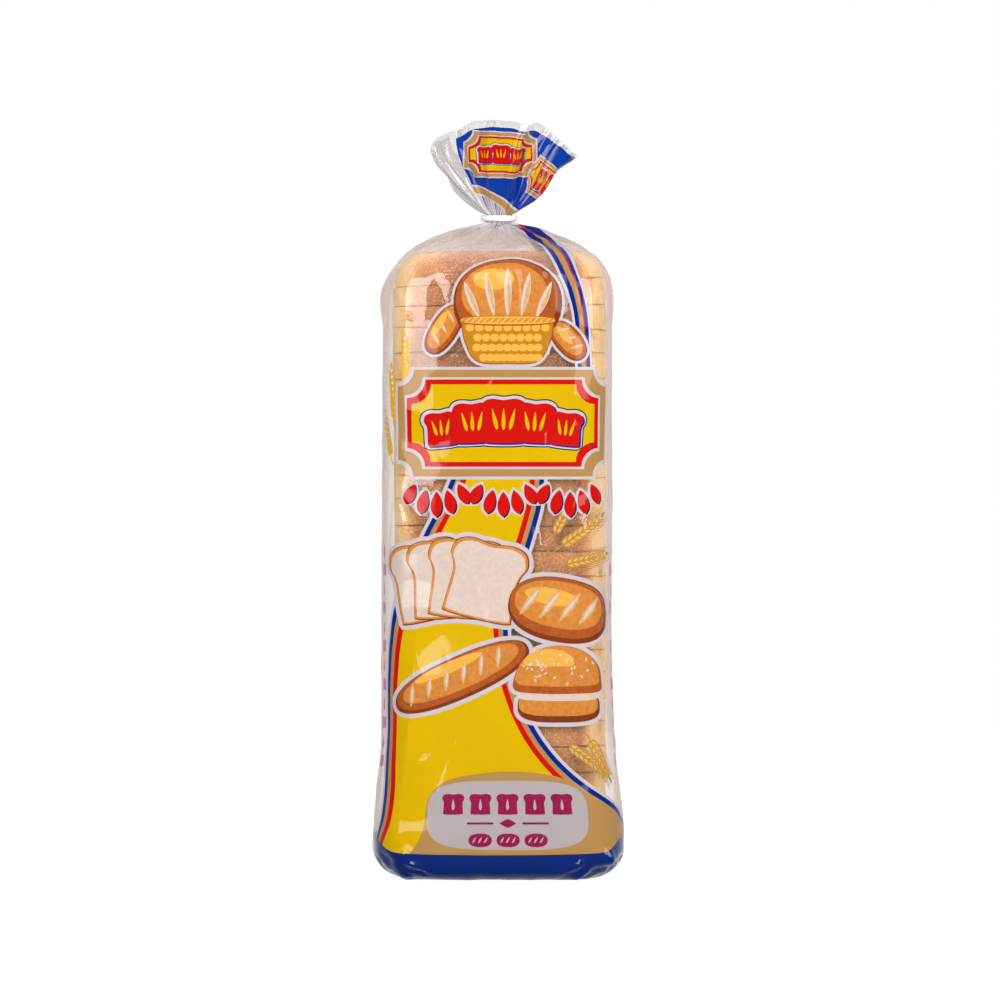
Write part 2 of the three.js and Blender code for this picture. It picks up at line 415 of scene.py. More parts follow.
def body_creases(relief, rng):
    """Long upright creases all round the body, and more of them down its corners."""
    for _ in range(BODY_CREASES):
        u, v = rng.uniform(0, FILM_ROUND), rng.uniform(20, 265)
        length, turn = rng.uniform(14, 60), math.radians(rng.normal(90, 26))
        end = (u + length * math.cos(turn), v + length * math.sin(turn))
        width, height = rng.uniform(1.6, 3.6), rng.uniform(-0.25, 0.4)
        relief.crease((u, v), end, width, height, rng.normal(0, 1.5))
    for corner in CORNERS:
        for _ in range(CORNER_CREASES):
            u = corner * FILM_ROUND + rng.normal(0, 6)
            v = rng.uniform(15, 220)
            end = (u + rng.normal(0, 5), v + rng.uniform(30, 80))
            relief.crease((u, v), end, rng.uniform(2, 5), rng.uniform(-0.5, 0.7))


def shoulder_pleats(relief, neck, rng):
    """Fans of pleats that run from the neck out over the shoulder, each to a length of its own."""
    for k in range(SHOULDER_PLEATS):
        u = (k + rng.uniform(-0.4, 0.4)) * FILM_ROUND / SHOULDER_PLEATS
        reach = rng.uniform(8, 42)
        width = rng.uniform(2.4, 6.0)
        height = rng.uniform(0.4, 1.2) * rng.choice([-1, 1])
        relief.crease((u, neck + 6), (u + rng.normal(0, 5), neck - reach), width, height, rng.normal(0, 1.2))
    for _ in range(SHOULDER_CREASES):
        u, reach = rng.uniform(0, FILM_ROUND), rng.uniform(14, 44)
        height = rng.uniform(0.5, 1.0)
        relief.crease((u, neck - 2), (u + rng.normal(0, 16), neck - reach), rng.uniform(1.2, 1.7), height)


def foot_crumples(relief, rng):
    """Short creases every way at the foot's corners."""
    for corner in CORNERS:
        for _ in range(FOOT_CRUMPLES):
            u, v = corner * FILM_ROUND + rng.normal(0, 9), rng.uniform(-2, 12)
            turn = rng.uniform(0, math.pi)
            length = rng.uniform(6, 16)
            du, dv = 0.5 * length * math.cos(turn), 0.5 * length * math.sin(turn)
            relief.crease((u - du, v - dv), (u + du, v + dv), rng.uniform(1.6, 3.6), rng.uniform(-1.6, 1.6))


def tail_folds(relief, rng):
    """Folds that fan out from the neck to the mouth."""
    foot = v_at(TAIL)
    for k in range(TAIL_FOLDS):
        u = (k + rng.uniform(-0.4, 0.4)) * FILM_ROUND / TAIL_FOLDS
        width = rng.uniform(3, 9)
        height = rng.uniform(0.5, 2.1) * rng.choice([-1, 1])
        top = foot + rng.uniform(18, 64)
        relief.crease((u, foot - 2), (u + rng.normal(0, 7), top), width, height, rng.normal(0, 2))


def film_point(u, v, relief):
    theta, m = theta_at(u), m_at(v)
    width = station(m)[0]
    room = np.clip((width - NECK_RADIUS) / (0.22 * BODY_HALF_WIDTH), 0.2, 1)  # less where it is gathered
    height = gathered_relief(theta, m) + room * relief.at(u, v)
    height = np.maximum(height, -LOAF_CLEARANCE - 8 * smoothstep(SHOULDER + 0.55, SHOULDER + 0.9, m))
    return smooth_point(theta, m) + smooth_normal(theta, m) * height[..., None]


def film_normal(u, v, relief):
    step = 0.35
    low, high = np.maximum(v - step, FILM_FOOT), np.minimum(v + step, FILM_TOP)
    around = film_point(u + step, v, relief) - film_point(u - step, v, relief)
    along = film_point(u, high, relief) - film_point(u, low, relief)
    return unit(np.cross(around, along))


# Outlines for the print, as (u, v) points of closed loops


def superellipse(cu, cv, ru, rv, power=2.0, turn=0.0, step=1.1):
    count = max(20, int(2 * math.pi * math.sqrt((ru * ru + rv * rv) / 2) / step))
    a = np.arange(count) * 2 * math.pi / count
    c, s = np.cos(a), np.sin(a)
    points = np.stack([
        ru * np.sign(c) * np.abs(c) ** (2 / power),
        rv * np.sign(s) * np.abs(s) ** (2 / power),
    ], axis=1)
    return placed(points, cu, cv, turn)


def placed(points, cu, cv, turn=0.0, scale=1.0):
    """Points turned by degrees and moved to (cu, cv)."""
    a = math.radians(turn)
    rotation = np.array([[math.cos(a), math.sin(a)], [-math.sin(a), math.cos(a)]])
    return scale * np.asarray(points, float) @ rotation + (cu, cv)


def smooth_curve(points, closed=False, step=1.1):
    """Catmull-Rom curve through the points, at about equal steps."""
    p = np.asarray(points, float)
    count = len(p)
    if closed:
        p = np.concatenate([p[-1:], p, p[:2]])
        spans = count
    else:
        p = np.concatenate([[2 * p[0] - p[1]], p, [2 * p[-1] - p[-2]]])
        spans = count - 1
    made = []
    for k in range(spans):
        a, b, c, d = p[k:k + 4]
        steps = max(2, int(np.linalg.norm(c - b) / step) + 1)
        t = (np.arange(steps) / steps)[:, None]
        bend, twist = 2 * a - 5 * b + 4 * c - d, 3 * b - a - 3 * c + d
        made.append(0.5 * (2 * b + (c - a) * t + bend * t**2 + twist * t**3))
    if not closed:
        made.append(p[-2:-1])
    return np.concatenate(made)


def side_normals(path):
    along = np.gradient(path, axis=0)
    along /= np.linalg.norm(along, axis=1, keepdims=True)
    return np.stack([-along[:, 1], along[:, 0]], axis=1)


def strip(path, left, right):
    """Band between two offsets of an open path. Offsets are to its left, one value or one a point."""
    out = side_normals(path)
    left = np.broadcast_to(left, len(path))[:, None]
    right = np.broadcast_to(right, len(path))[:, None]
    return np.concatenate([path + out * left, (path + out * right)[::-1]])


def stripes(path, widths, start=0.0, grow=None):
    """Stripes side by side along a path, from its left to its right, as (ink, width) pairs. Grow scales
    the widths along the path."""
    made = []
    scale = np.ones(len(path)) if grow is None else grow
    offset = start
    for ink, width in widths:
        made.append((ink, strip(path, offset * scale, (offset - width) * scale)))
        offset -= width
    return made


def grown(outline, by):
    """A closed loop moved outwards, or inwards where by is below 0."""
    ahead, behind = np.roll(outline, -1, axis=0), np.roll(outline, 1, axis=0)
    along = ahead - behind
    along /= np.maximum(np.linalg.norm(along, axis=1, keepdims=True), 1e-9)
    out = np.stack([along[:, 1], -along[:, 0]], axis=1)
    area = np.sum(outline[:, 0] * ahead[:, 1] - ahead[:, 0] * outline[:, 1])
    return outline + out * by * (1 if area > 0 else -1)


def leaf(cu, cv, length, width, turn, blunt=0.6, count=9):
    """A kernel or leaf: pointed at its far end and rounder at its foot."""
    s = np.linspace(0, 1, count)
    half = width / 2 * np.sin(math.pi * s**blunt) ** 0.8
    points = np.concatenate([
        np.stack([(s - 0.5) * length, half], axis=1),
        np.stack([(s - 0.5) * length, -half], axis=1)[-2:0:-1],
    ])
    return placed(points, cu, cv, turn)


def slice_outline(cu, cv, size, turn=0.0):
    """A slice of tin loaf seen face on, with its two rounded top lobes."""
    points = [
        (-0.40, -0.48), (0.0, -0.50), (0.40, -0.48), (0.44, -0.40), (0.42, 0.0), (0.44, 0.14),
        (0.50, 0.28), (0.44, 0.44), (0.26, 0.50), (0.0, 0.47), (-0.26, 0.50), (-0.44, 0.44),
        (-0.50, 0.28), (-0.44, 0.14), (-0.42, 0.0), (-0.44, -0.40),
    ]
    return smooth_curve(placed(points, cu, cv, turn, size), closed=True)


# Film mesh: a triangulation of the flat film that follows every printed outline


def film_columns():
    """U of the mesh's columns, from the seam right round, closer together on the front and sides."""
    front = CORNERS[-1] * FILM_ROUND
    rear = SEAM + FILM_ROUND
    near = np.linspace(SEAM, front, int((front - SEAM) / FRONT_STEP) + 1)
    far = np.linspace(front, rear, int((rear - front) / BACK_STEP) + 1)
    return np.concatenate([near, far[1:]])


def film_rows():
    m = [0.0]
    for stretch, count in ROWS.items():
        m += [stretch + k / count for k in range(1, count + 1)]
    return np.interp(m, FLAT_M, FLAT_V)


def clear_of(outlines, us, vs):
    """Which grid points stand clear of the outlines' points, so that no sliver forms between them."""
    keep = np.ones((len(vs), len(us)), bool)
    points = np.concatenate(outlines)
    i = np.clip(np.searchsorted(us, points[:, 0]), 1, len(us) - 1)
    j = np.clip(np.searchsorted(vs, points[:, 1]), 1, len(vs) - 1)
    for di in (-1, 0):
        for dj in (-1, 0):
            near = np.hypot(us[i + di] - points[:, 0], vs[j + dj] - points[:, 1]) < OUTLINE_ROOM
            keep[(j + dj)[near], (i + di)[near]] = False
    keep[:, 0] = keep[:, -1] = keep[0] = keep[-1] = True
    return keep


def wound_round(outline, points):
    """Which points a closed loop goes round."""
    x0, y0 = outline.T
    x1, y1 = np.roll(outline, -1, axis=0).T
    found = np.zeros(len(points), bool)
    for first in range(0, len(points), POINTS_AT_ONCE):
        x, y = points[first:first + POINTS_AT_ONCE].T[:, :, None]
        climbs = (y0 <= y) & (y1 > y)
        drops = (y0 > y) & (y1 <= y)
        side = (x1 - x0) * (y - y0) - (x - x0) * (y1 - y0)
        turns = (climbs & (side > 0)).sum(axis=1) - (drops & (side < 0)).sum(axis=1)
        found[first:first + POINTS_AT_ONCE] = turns != 0
    return found


def topmost_shape(outlines, points):
    """Number of the last painted outline round each point, or -1."""
    top = np.full(len(points), -1)
    for number, outline in enumerate(outlines):
        low, high = outline.min(axis=0), outline.max(axis=0)
        near = np.nonzero(((points >= low) & (points <= high)).all(axis=1))[0]
        top[near[wound_round(outline, points[near])]] = number
    return top


def in_steps(outline):
    """A closed loop with points added along its long edges."""
    made = []
    for a, b in zip(outline, np.roll(outline, -1, axis=0)):
        count = int(np.linalg.norm(b - a) / OUTLINE_STEP) + 1
        made += [a + (b - a) * k / count for k in range(count)]
    return np.array(made)


def flat_triangles(shapes):
    """Points and triangles of the flat film, and each triangle's topmost printed shape or -1."""
    us, vs = film_columns(), film_rows()
    low, high = (us[0], vs[0]), (us[-1], vs[-1])
    outlines = [np.clip(in_steps(outline), low, high) for _, outline in shapes]
    keep = clear_of(outlines, us, vs)
    grid_u, grid_v = np.meshgrid(us, vs)
    points = [np.stack([grid_u[keep], grid_v[keep]], axis=1)] + outlines
    edges = []
    start = len(points[0])
    for outline in outlines:
        edges += [(start + k, start + (k + 1) % len(outline)) for k in range(len(outline))]
        start += len(outline)
    made = delaunay_2d_cdt([Vector(p) for p in np.concatenate(points)], edges, [], 0, 1e-5)
    corners = np.array([p[:] for p in made[0]])
    triangles = np.array(made[2])
    return corners, triangles, topmost_shape(outlines, corners[triangles].mean(axis=1))


def whole_triangles(triangles):
    """Which triangles have three corners of their own and lie on no other triangle."""
    a, b, c = triangles.T
    corners = np.sort(triangles, axis=1)
    _, which, copies = np.unique(corners, axis=0, return_inverse=True, return_counts=True)
    return (a != b) & (b != c) & (c != a) & (copies[which.reshape(-1)] == 1)


def film_object(shapes, relief, inks):
    """The film, bent round the loaf: the flat film's two sides are welded into one skin."""
    corners, triangles, top = flat_triangles(shapes)
    for side in (SEAM + FILM_ROUND, SEAM):
        corners[np.abs(corners[:, 0] - side) < SEAM_SNAP, 0] = SEAM
    points = film_point(corners[:, 0], corners[:, 1], relief)
    normals = film_normal(corners[:, 0], corners[:, 1], relief)
    points[corners[:, 1] <= FILM_FOOT + 1e-4] = smooth_point(0.0, 0.0)
    normals[corners[:, 1] <= FILM_FOOT + BASE_RIM] = (0, 0, -1)
    points[:, 2] = np.maximum(points[:, 2], FLOOR_CLEARANCE)
    _, first, weld = np.unique(np.round(points, 4), axis=0, return_index=True, return_inverse=True)
    triangles = weld.reshape(-1)[triangles]
    whole = whole_triangles(triangles)
    mesh = mesh_from("bag_film", points[first] * MM, triangles[whole].tolist())
    names = ["film"] + sorted({ink for ink, _ in shapes})
    for name in names:
        mesh.materials.append(inks[name])
    slots = np.array([names.index(ink) for ink, _ in shapes] + [0])
    mesh.polygons.foreach_set("material_index", slots[top[whole]].astype(np.int32))
    mesh.normals_split_custom_set_from_vertices(normals[first].tolist())
    u, v = corners[first].T
    add_layer(mesh, "whitened", np.clip(bunched(u, v) + creased(u, v, relief), 0, 1))
    add_layer(mesh, "folded", folded(v))
    return added(mesh)


def creased(u, v, relief):
    """How white the film is along its sharp creases: more on the shoulder and in the tail."""
    sides = [(CREASE_REACH, 0), (-CREASE_REACH, 0), (0, CREASE_REACH), (0, -CREASE_REACH)]
    sharp = np.abs(4 * relief.at(u, v) - sum(relief.at(u + du, v + dv) for du, dv in sides))
    loose = smoothstep(SHOULDER_START - 6, SHOULDER_START + 22, v)
    return smoothstep(0.25, 1.3, sharp) * mix(0.1, 0.6, loose)


def folded(v):
    """How much of the film lies in folds, which let less through: all of the tail, less of the shoulder."""
    shoulder = SHOULDER_FOLDS * smoothstep(SHOULDER_START + 14, SHOULDER_START + 42, v)
    return np.maximum(shoulder, smoothstep(v_at(TAIL), v_at(TAIL) + 6, v))


def bunched(u, v):
    """How white the bunched film looks: most at the band, in streaks that fade over shoulder and tail."""
    below, above = (v_at(NECK) - v) / BUNCHED_BELOW, (v - v_at(TAIL)) / BUNCHED_ABOVE
    fade = np.exp(-np.clip(np.maximum(below, above), 0, None) ** 1.3)
    theta = theta_at(u)
    streak = 0.25 * np.sin(19 * theta + 1.4 * np.sin(5 * theta))
    fine_streak = 0.2 * np.sin(53 * theta + 2 * np.sin(3 * theta))
    return fade * (0.72 + streak + fine_streak)


def mesh_from(name, points, faces, smooth=True):
    mesh = bpy.data.meshes.new(name)
    mesh.from_pydata(points.tolist(), [], faces)
    mesh.polygons.foreach_set("use_smooth", [smooth] * len(mesh.polygons))
    mesh.update()
    return mesh


def add_layer(mesh, name, values):
    """A value for each point, for the materials to read."""
    layer = mesh.attributes.new(name, "FLOAT", "POINT")
    layer.data.foreach_set("value", values.astype(np.float32))


def added(mesh):
    piece = bpy.data.objects.new(mesh.name, mesh)
    bpy.context.scene.collection.objects.link(piece)
    return piece


# Loaf: slices of one shape, each set a little off its neighbours

LOAF_COLUMNS = 140
LOAF_TOP = LOAF_BOTTOM + (SLICES - 1) * SLICE_PITCH + 13.0
HEEL_DOME = 11.5
HEEL_SCALE = (0.972, 0.94)  # the top heel is a little smaller than the loaf
HEEL_SQUARENESS = 3.8
FOOT_DOME = 9.0
CUT_GAP = 0.14
CUT_SHADE_REACH = 0.6  # how far the painted shade line along each cut reaches
CUT_SLOPE = 0.008
TOP_CUT_SLOPE = (0.05, 0.02)
CAP_RINGS = 7


def slice_profile(thickness, dome):
    """Inset and height of the rim's rings, from the lower cut face to the upper one."""
    edge = 0.32
    rings = [(edge, 0), (0.3 * edge, 0.3 * edge), (0, edge), (0, CUT_SHADE_REACH)]
    if dome:
        rings += [(0, thickness - dome)]
        for k in range(1, 9):
            a = k * math.pi / 16
            rings.append((dome * (1 - math.cos(a)), thickness - dome + dome * math.sin(a)))
        return rings
    rings += [(0, thickness * k / 4) for k in (1, 2, 3)] + [(0, thickness - CUT_SHADE_REACH)]
    return rings + [(0, thickness - edge), (0.3 * edge, thickness - 0.3 * edge), (edge, thickness)]


def loaf_waves(theta, z):
    """Unevenness of the loaf's side, in millimetres."""
    wave = 0.5 * np.sin(3 * theta + 0.011 * z + 0.6) + 0.35 * np.sin(7 * theta - 0.04 * z)
    return wave + 0.25 * np.sin(13 * theta + 0.09 * z + 1.2)


def knife_wave(theta, cut):
    """How a cut's edge strays up and down round the loaf."""
    wave = 0.13 * np.sin(5 * theta + 2.1 * cut) + 0.09 * np.sin(14 * theta + 3.7 * cut)
    return wave + 0.05 * np.sin(31 * theta + cut)


def loaf_cuts(rng):
    """Height and slopes of each cut: the knife goes through a little askew."""
    cuts = []
    for k in range(SLICES + 1):
        inner = 0 < k < SLICES
        slope = rng.normal(0, CUT_SLOPE, 2) if inner else np.zeros(2)
        height = LOAF_BOTTOM + k * SLICE_PITCH + (rng.normal(0, 0.3) if inner else 0)
        cuts.append((height, *slope))
    cuts[SLICES - 1] = (cuts[SLICES - 1][0], *TOP_CUT_SLOPE)
    cuts[SLICES] = (LOAF_TOP, 0.006, 0.0)
    return cuts


def slice_mesh(number, cuts, rng, materials):
    """One slice, counted from below. The first and the last have a crust on their outer face."""
    bottom, top = number == 0, number == SLICES - 1
    dome = HEEL_DOME if top else FOOT_DOME if bottom else 0
    below, above = cuts[number], cuts[number + 1]
    thickness = above[0] - below[0] - CUT_GAP
    profile = slice_profile(thickness, dome)
    if bottom:
        profile = [(inset, thickness - height) for inset, height in profile[::-1]]
    theta = np.arange(LOAF_COLUMNS) * 2 * math.pi / LOAF_COLUMNS
    shift = rng.normal(0, 0.12, 2)
    size = 1 + rng.normal(0, 0.0014)
    rings = []
    cut_shade_marks = []
    for inset, height in profile:
        share = height / thickness
        # Points of the rings within reach of a cut get the painted shade of the gap between slices.
        cut_shade_marks += [float(min(height, thickness - height) < 0.9 * CUT_SHADE_REACH)] * LOAF_COLUMNS
        x, y = unit_outline(theta, mix(LOAF_SQUARENESS, HEEL_SQUARENESS, share) if top else LOAF_SQUARENESS)
        wave = loaf_waves(theta, below[0] + height) + 0.1 * np.sin(5 * theta + 9 * number)
        narrow, shallow = HEEL_SCALE if top else (size, size)
        px = x * (LOAF_HALF_WIDTH * narrow - inset) + wave * np.cos(theta) + shift[0] + LOAF_OFFSET
        py = y * (LOAF_HALF_DEPTH * shallow - inset) + wave * np.sin(theta) + shift[1]
        slope_x, slope_y = mix(below[1], above[1], share), mix(below[2], above[2], share)
        ragged = mix(knife_wave(theta, number), knife_wave(theta, number + 1), share)
        pz = below[0] + height + slope_x * px + slope_y * py + (0 if dome else ragged)
        rings.append(np.stack([px, py, pz], axis=1))
    points, faces, marks = loft_with_caps(rings)
    points += lumps(points)
    inside = 1 + (CAP_RINGS - 1) * LOAF_COLUMNS
    near = np.zeros(len(points))
    near[inside:inside + len(cut_shade_marks)] = cut_shade_marks
    mesh = mesh_from(f"slice_{number + 1:02d}", points * MM, faces)
    mesh.materials.append(materials["crust"])
    mesh.materials.append(materials["crumb"])
    crumb_caps = marks.copy()
    crumb_caps[marks == 1] = 0 if bottom else 1
    crumb_caps[marks == 2] = 0 if top else 1
    mesh.polygons.foreach_set("material_index", crumb_caps.astype(np.int32))
    crust_bake_and_cut_shade(mesh, points, near, rng)
    return added(mesh)


def pale_corner(points):
    """The right front corner of the heel, which is pale and lumpy."""
    x, y, z = points.T
    return smoothstep(28, 42, x) * (1 - smoothstep(30, 50, z)) * smoothstep(0, 30, -y)


def lumps(points):
    """How the pale corner is pushed in."""
    x, y, z = points.T
    swell = np.sin(0.42 * z + 0.3 * x) * np.cos(0.5 * y - 0.2 * z) + 0.6 * np.sin(0.9 * x + 0.8 * z + 0.4 * y)
    amount = -0.9 * pale_corner(points) * (1 + 0.6 * swell)
    return np.stack([amount, -0.6 * amount, np.zeros_like(x)], axis=1)


def loft_with_caps(rings):
    """One closed skin through the rings, each end closed by rings that shrink to its middle. The faces are
    marked 0 on the side, 1 on the lower end and 2 on the upper one."""
    columns = len(rings[0])
    lower, upper = rings[0].mean(axis=0), rings[-1].mean(axis=0)
    shrink = [1 - k / CAP_RINGS for k in range(1, CAP_RINGS)]
    inner_low = [lower + (rings[0] - lower) * s for s in shrink[::-1]]
    inner_high = [upper + (rings[-1] - upper) * s for s in shrink]
    stack = inner_low + list(rings) + inner_high
    points = np.concatenate([lower[None], *stack, upper[None]])
    faces, marks = [], []

    def at(r, c):
        return 1 + r * columns + c % columns

    for c in range(columns):
        faces.append((0, at(0, c + 1), at(0, c)))
        marks.append(1)
    for r in range(len(stack) - 1):
        mark = 1 if r < len(inner_low) else 2 if r >= len(inner_low) + len(rings) - 1 else 0
        for c in range(columns):
            faces.append((at(r, c), at(r, c + 1), at(r + 1, c + 1), at(r + 1, c)))
            marks.append(mark)
    last = len(points) - 1
    for c in range(columns):
        faces.append((at(len(stack) - 1, c), at(len(stack) - 1, c + 1), last))
        marks.append(2)
    return points, faces, np.array(marks)


def crust_bake_and_cut_shade(mesh, points, near, rng):
    """How brown each point of the crust is: 0 on the pale sides, 1 in the middle of front and back, and more
    near a cut, where the darker line is painted shade for the gap between slices."""
    x, y, z = points.T
    face = smoothstep(0.66, 0.93, np.abs(y) / LOAF_HALF_DEPTH)
    across = 1 - smoothstep(0.72, 0.99, np.abs(x - LOAF_OFFSET) / LOAF_HALF_WIDTH)
    middle = 0.76 + 0.1 * np.sin(z / 17 + 1) + 0.16 * smoothstep(262, 282, z)
    brown = face * across * middle * (1 + rng.normal(0, 0.06)) + 0.16 * (1 - face)
    brown *= 1 - pale_corner(points)
    # Painted shade: a darker, uneven line along each cut stands for the shade in the gap between slices.
    brown += near * (0.35 + 0.25 * np.sin(0.9 * x + 0.7 * z)) * (0.25 + 0.75 * across)
    add_layer(mesh, "bake_and_cut_shade", np.clip(brown, 0, 1))


# The band: a flat white strap wound tight, with rounded edges and a lapped end


BAND_RINGS = 144
BAND_SIDES = 16
BAND_POWER = 0.7  # below 1 its section is nearly a rectangle


def band_mesh(materials):
    low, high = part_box("band")
    middle = (low + high) / 2 / MM
    height = (high.z - low.z) / MM
    outer = (high.x - low.x) / 2 / MM
    points = []
    for i in range(BAND_RINGS):
        a = 2 * math.pi * i / BAND_RINGS
        lap = 0.45 * float(smoothstep(0.0, 0.25, math.cos(a - 2.3)) > 0.5)
        radius = outer - 0.65 + 0.10 * math.sin(3 * a + 0.4) + 0.12 * lap
        lift = 0.12 * math.sin(2 * a + 1.0)
        swell = 0.62 + 0.05 * math.sin(5 * a)
        tall = height / 2 * (0.94 + 0.06 * math.sin(4 * a))
        for k in range(BAND_SIDES):
            b = 2 * math.pi * k / BAND_SIDES
            reach = radius + swell * math.copysign(abs(math.cos(b)) ** BAND_POWER, math.cos(b))
            up = tall * math.copysign(abs(math.sin(b)) ** BAND_POWER, math.sin(b))
            x, y = reach * math.cos(a) + middle.x, reach * math.sin(a) + middle.y
            points.append((x, y, middle.z + up + lift))
    faces = []
    for i in range(BAND_RINGS):
        here, ahead = i * BAND_SIDES, (i + 1) % BAND_RINGS * BAND_SIDES
        for k in range(BAND_SIDES):
            after = (k + 1) % BAND_SIDES
            faces.append((here + k, ahead + k, ahead + after, here + after))
    mesh = mesh_from("neck_band", np.array(points) * MM, faces)
    mesh.materials.append(materials["band_plastic"])
    return added(mesh)


# Materials


def linear(red, green, blue):
    """A colour given as 0-255 screen values."""
    screen = (red / 255, green / 255, blue / 255)
    return tuple(((c + 0.055) / 1.055) ** 2.4 if c > 0.04 else c / 12.92 for c in screen) + (1.0,)


class Nodes:
    """The node tree of a material or a world, with short ways to add to it."""

    def __init__(self, name, world=False):
        self.owner = bpy.data.worlds.new(name) if world else bpy.data.materials.new(name)
        self.owner.use_nodes = True
        self.tree = self.owner.node_tree
        self.tree.nodes.clear()
        self.output = self.add("ShaderNodeOutputWorld" if world else "ShaderNodeOutputMaterial")

    def add(self, kind, constants=(), **settings):
        """A node with its settings, and with constants on its own sockets as (socket, value) pairs."""
        node = self.tree.nodes.new(kind)
        for key, value in settings.items():
            setattr(node, key, value)
        for socket, value in constants:
            node.inputs[socket].default_value = value
        return node

    def principled(self, constants, linked):
        """The surface shader, with its constants and the sources of the sockets that vary."""
        shader = self.add("ShaderNodeBsdfPrincipled", constants)
        for socket, source in linked:
            self.link(source, shader.inputs[socket])
        return shader.outputs[0]

    def blend(self, factor, first, second):
        """Two shaders mixed by a factor, which is a number or a source."""
        node = self.add("ShaderNodeMixShader")
        if isinstance(factor, float):
            node.inputs["Fac"].default_value = factor
        else:
            self.link(factor, node.inputs["Fac"])
        self.link(first, node.inputs[1])
        self.link(second, node.inputs[2])
        return node.outputs[0]

    def finished(self, shader):
        self.link(shader, self.output.inputs["Surface"])
        return self.owner

    def link(self, source, target):
        self.tree.links.new(source, target)

    def noise(self, scale, detail=3.0, roughness=0.55, distortion=0.0, stretch=(1, 1, 1)):
        where = self.add("ShaderNodeTexCoord")
        mapping = self.add("ShaderNodeMapping", [("Scale", stretch)])
        self.link(where.outputs["Object"], mapping.inputs["Vector"])
        node = self.add("ShaderNodeTexNoise", [
            ("Scale", scale), ("Detail", detail), ("Roughness", roughness), ("Distortion", distortion)])
        self.link(mapping.outputs["Vector"], node.inputs["Vector"])
        return node.outputs["Fac"]

    def specks(self, scale):
        """Distance to the nearest of many points strewn at about one for each cell."""
        where = self.add("ShaderNodeTexCoord")
        node = self.add("ShaderNodeTexVoronoi", [("Scale", scale)])
        self.link(where.outputs["Object"], node.inputs["Vector"])
        return node.outputs["Distance"]

    def math(self, operation, a, b=0.0, clamp=False):
        node = self.add("ShaderNodeMath", operation=operation, use_clamp=clamp)
        for socket, value in zip(node.inputs, (a, b)):
            if isinstance(value, (int, float)):
                socket.default_value = value
            else:
                self.link(value, socket)
        return node.outputs[0]

    def ramp(self, source, stops):
        node = self.add("ShaderNodeValToRGB")
        elements = node.color_ramp.elements
        while len(elements) < len(stops):
            elements.new(0.5)
        for element, (position, colour) in zip(elements, stops):
            element.position = position
            element.color = colour
        self.link(source, node.inputs["Fac"])
        return node.outputs["Color"]

    def range(self, source, low, high, span=(0.0, 1.0)):
        """Maps the source's span to low and high, and holds it there beyond."""
        node = self.add("ShaderNodeMapRange", [
            ("From Min", span[0]), ("From Max", span[1]), ("To Min", low), ("To Max", high)])
        self.link(source, node.inputs["Value"])
        return node.outputs["Result"]

    def bump(self, height, distance, strength=1.0):
        node = self.add("ShaderNodeBump", [("Distance", distance), ("Strength", strength)])
        self.link(height, node.inputs["Height"])
        return node.outputs["Normal"]

    def mix_colour(self, factor, a, b, blend="MIX"):
        node = self.add("ShaderNodeMix", data_type="RGBA", blend_type=blend)
        for socket, value in ((node.inputs["Factor"], factor), (node.inputs[6], a), (node.inputs[7], b)):
            if isinstance(value, (int, float, tuple)):
                socket.default_value = value
            else:
                self.link(value, socket)
        return node.outputs[2]


FILM_CLEARNESS = 0.9
TAIL_CLEARNESS = 0.78
EDGE_TINT = (0.62, 0.54, 0.5, 1)  # what a clear layer lets through where it is seen edge on
FILM_HAZE = 0.035
GATHERED_HAZE = 0.95
EDGE_HAZE = 0.5
HAZE_BACKLIGHT = 0.3  # share of the haze that light from behind shows
FILM_GLOSS = 0.07
EDGE_GLOSS = 0.5
GLOSS_ROUGHNESS = 0.045
FILM_BUMP = 0.00012
FULL_COATS = ("royal", "foot_blue")


def film_bump(n, strength):
    return n.bump(n.noise(260, 3, 0.6, 0.6), FILM_BUMP, strength)


def film_material():
    """Clear film: light goes through, hazed where it is whitened, and gloss grows towards its edges."""
    n = Nodes("film")
    white = n.add("ShaderNodeAttribute", attribute_name="whitened", attribute_type="GEOMETRY").outputs["Fac"]
    folds = n.add("ShaderNodeAttribute", attribute_name="folded", attribute_type="GEOMETRY").outputs["Fac"]
    facing = n.add("ShaderNodeLayerWeight", [("Blend", 0.5)]).outputs["Facing"]
    clear, layered = [(share,) * 3 + (1,) for share in (FILM_CLEARNESS, TAIL_CLEARNESS)]
    passed = n.mix_colour(n.math("POWER", facing, 4.0), n.mix_colour(folds, clear, layered), EDGE_TINT)
    through = n.add("ShaderNodeBsdfTransparent")
    n.link(passed, through.inputs["Color"])
    bunch = n.math("MULTIPLY", white, 4.0, clamp=True)
    # The haze is the film's own, but its warm tint is painted bounce light from the bread behind the film,
    # and its darker, cooler tint where the film is bunched is painted shade over the shoulder.
    tint = n.mix_colour(bunch, linear(245, 225, 212), linear(214, 211, 216))
    sides = [n.add(kind) for kind in ("ShaderNodeBsdfDiffuse", "ShaderNodeBsdfTranslucent")]
    for side in sides:
        n.link(tint, side.inputs["Color"])
    haze = n.blend(HAZE_BACKLIGHT, sides[0].outputs[0], sides[1].outputs[0])
    dull = n.range(n.noise(90, 4), 0.5 * FILM_HAZE, 1.6 * FILM_HAZE)
    dull = n.math("ADD", dull, n.math("MULTIPLY", n.math("POWER", facing, 1.8), EDGE_HAZE))
    dull = n.math("ADD", dull, n.math("MULTIPLY", white, GATHERED_HAZE), clamp=True)
    gloss = n.add("ShaderNodeBsdfGlossy", [("Roughness", GLOSS_ROUGHNESS)])
    n.link(film_bump(n, 0.3), gloss.inputs["Normal"])
    edge_shine = n.math("MULTIPLY", n.math("POWER", facing, 4.0), EDGE_GLOSS)
    shine = n.math("ADD", edge_shine, FILM_GLOSS, clamp=True)
    return n.finished(n.blend(shine, n.blend(dull, through.outputs[0], haze), gloss.outputs[0]))


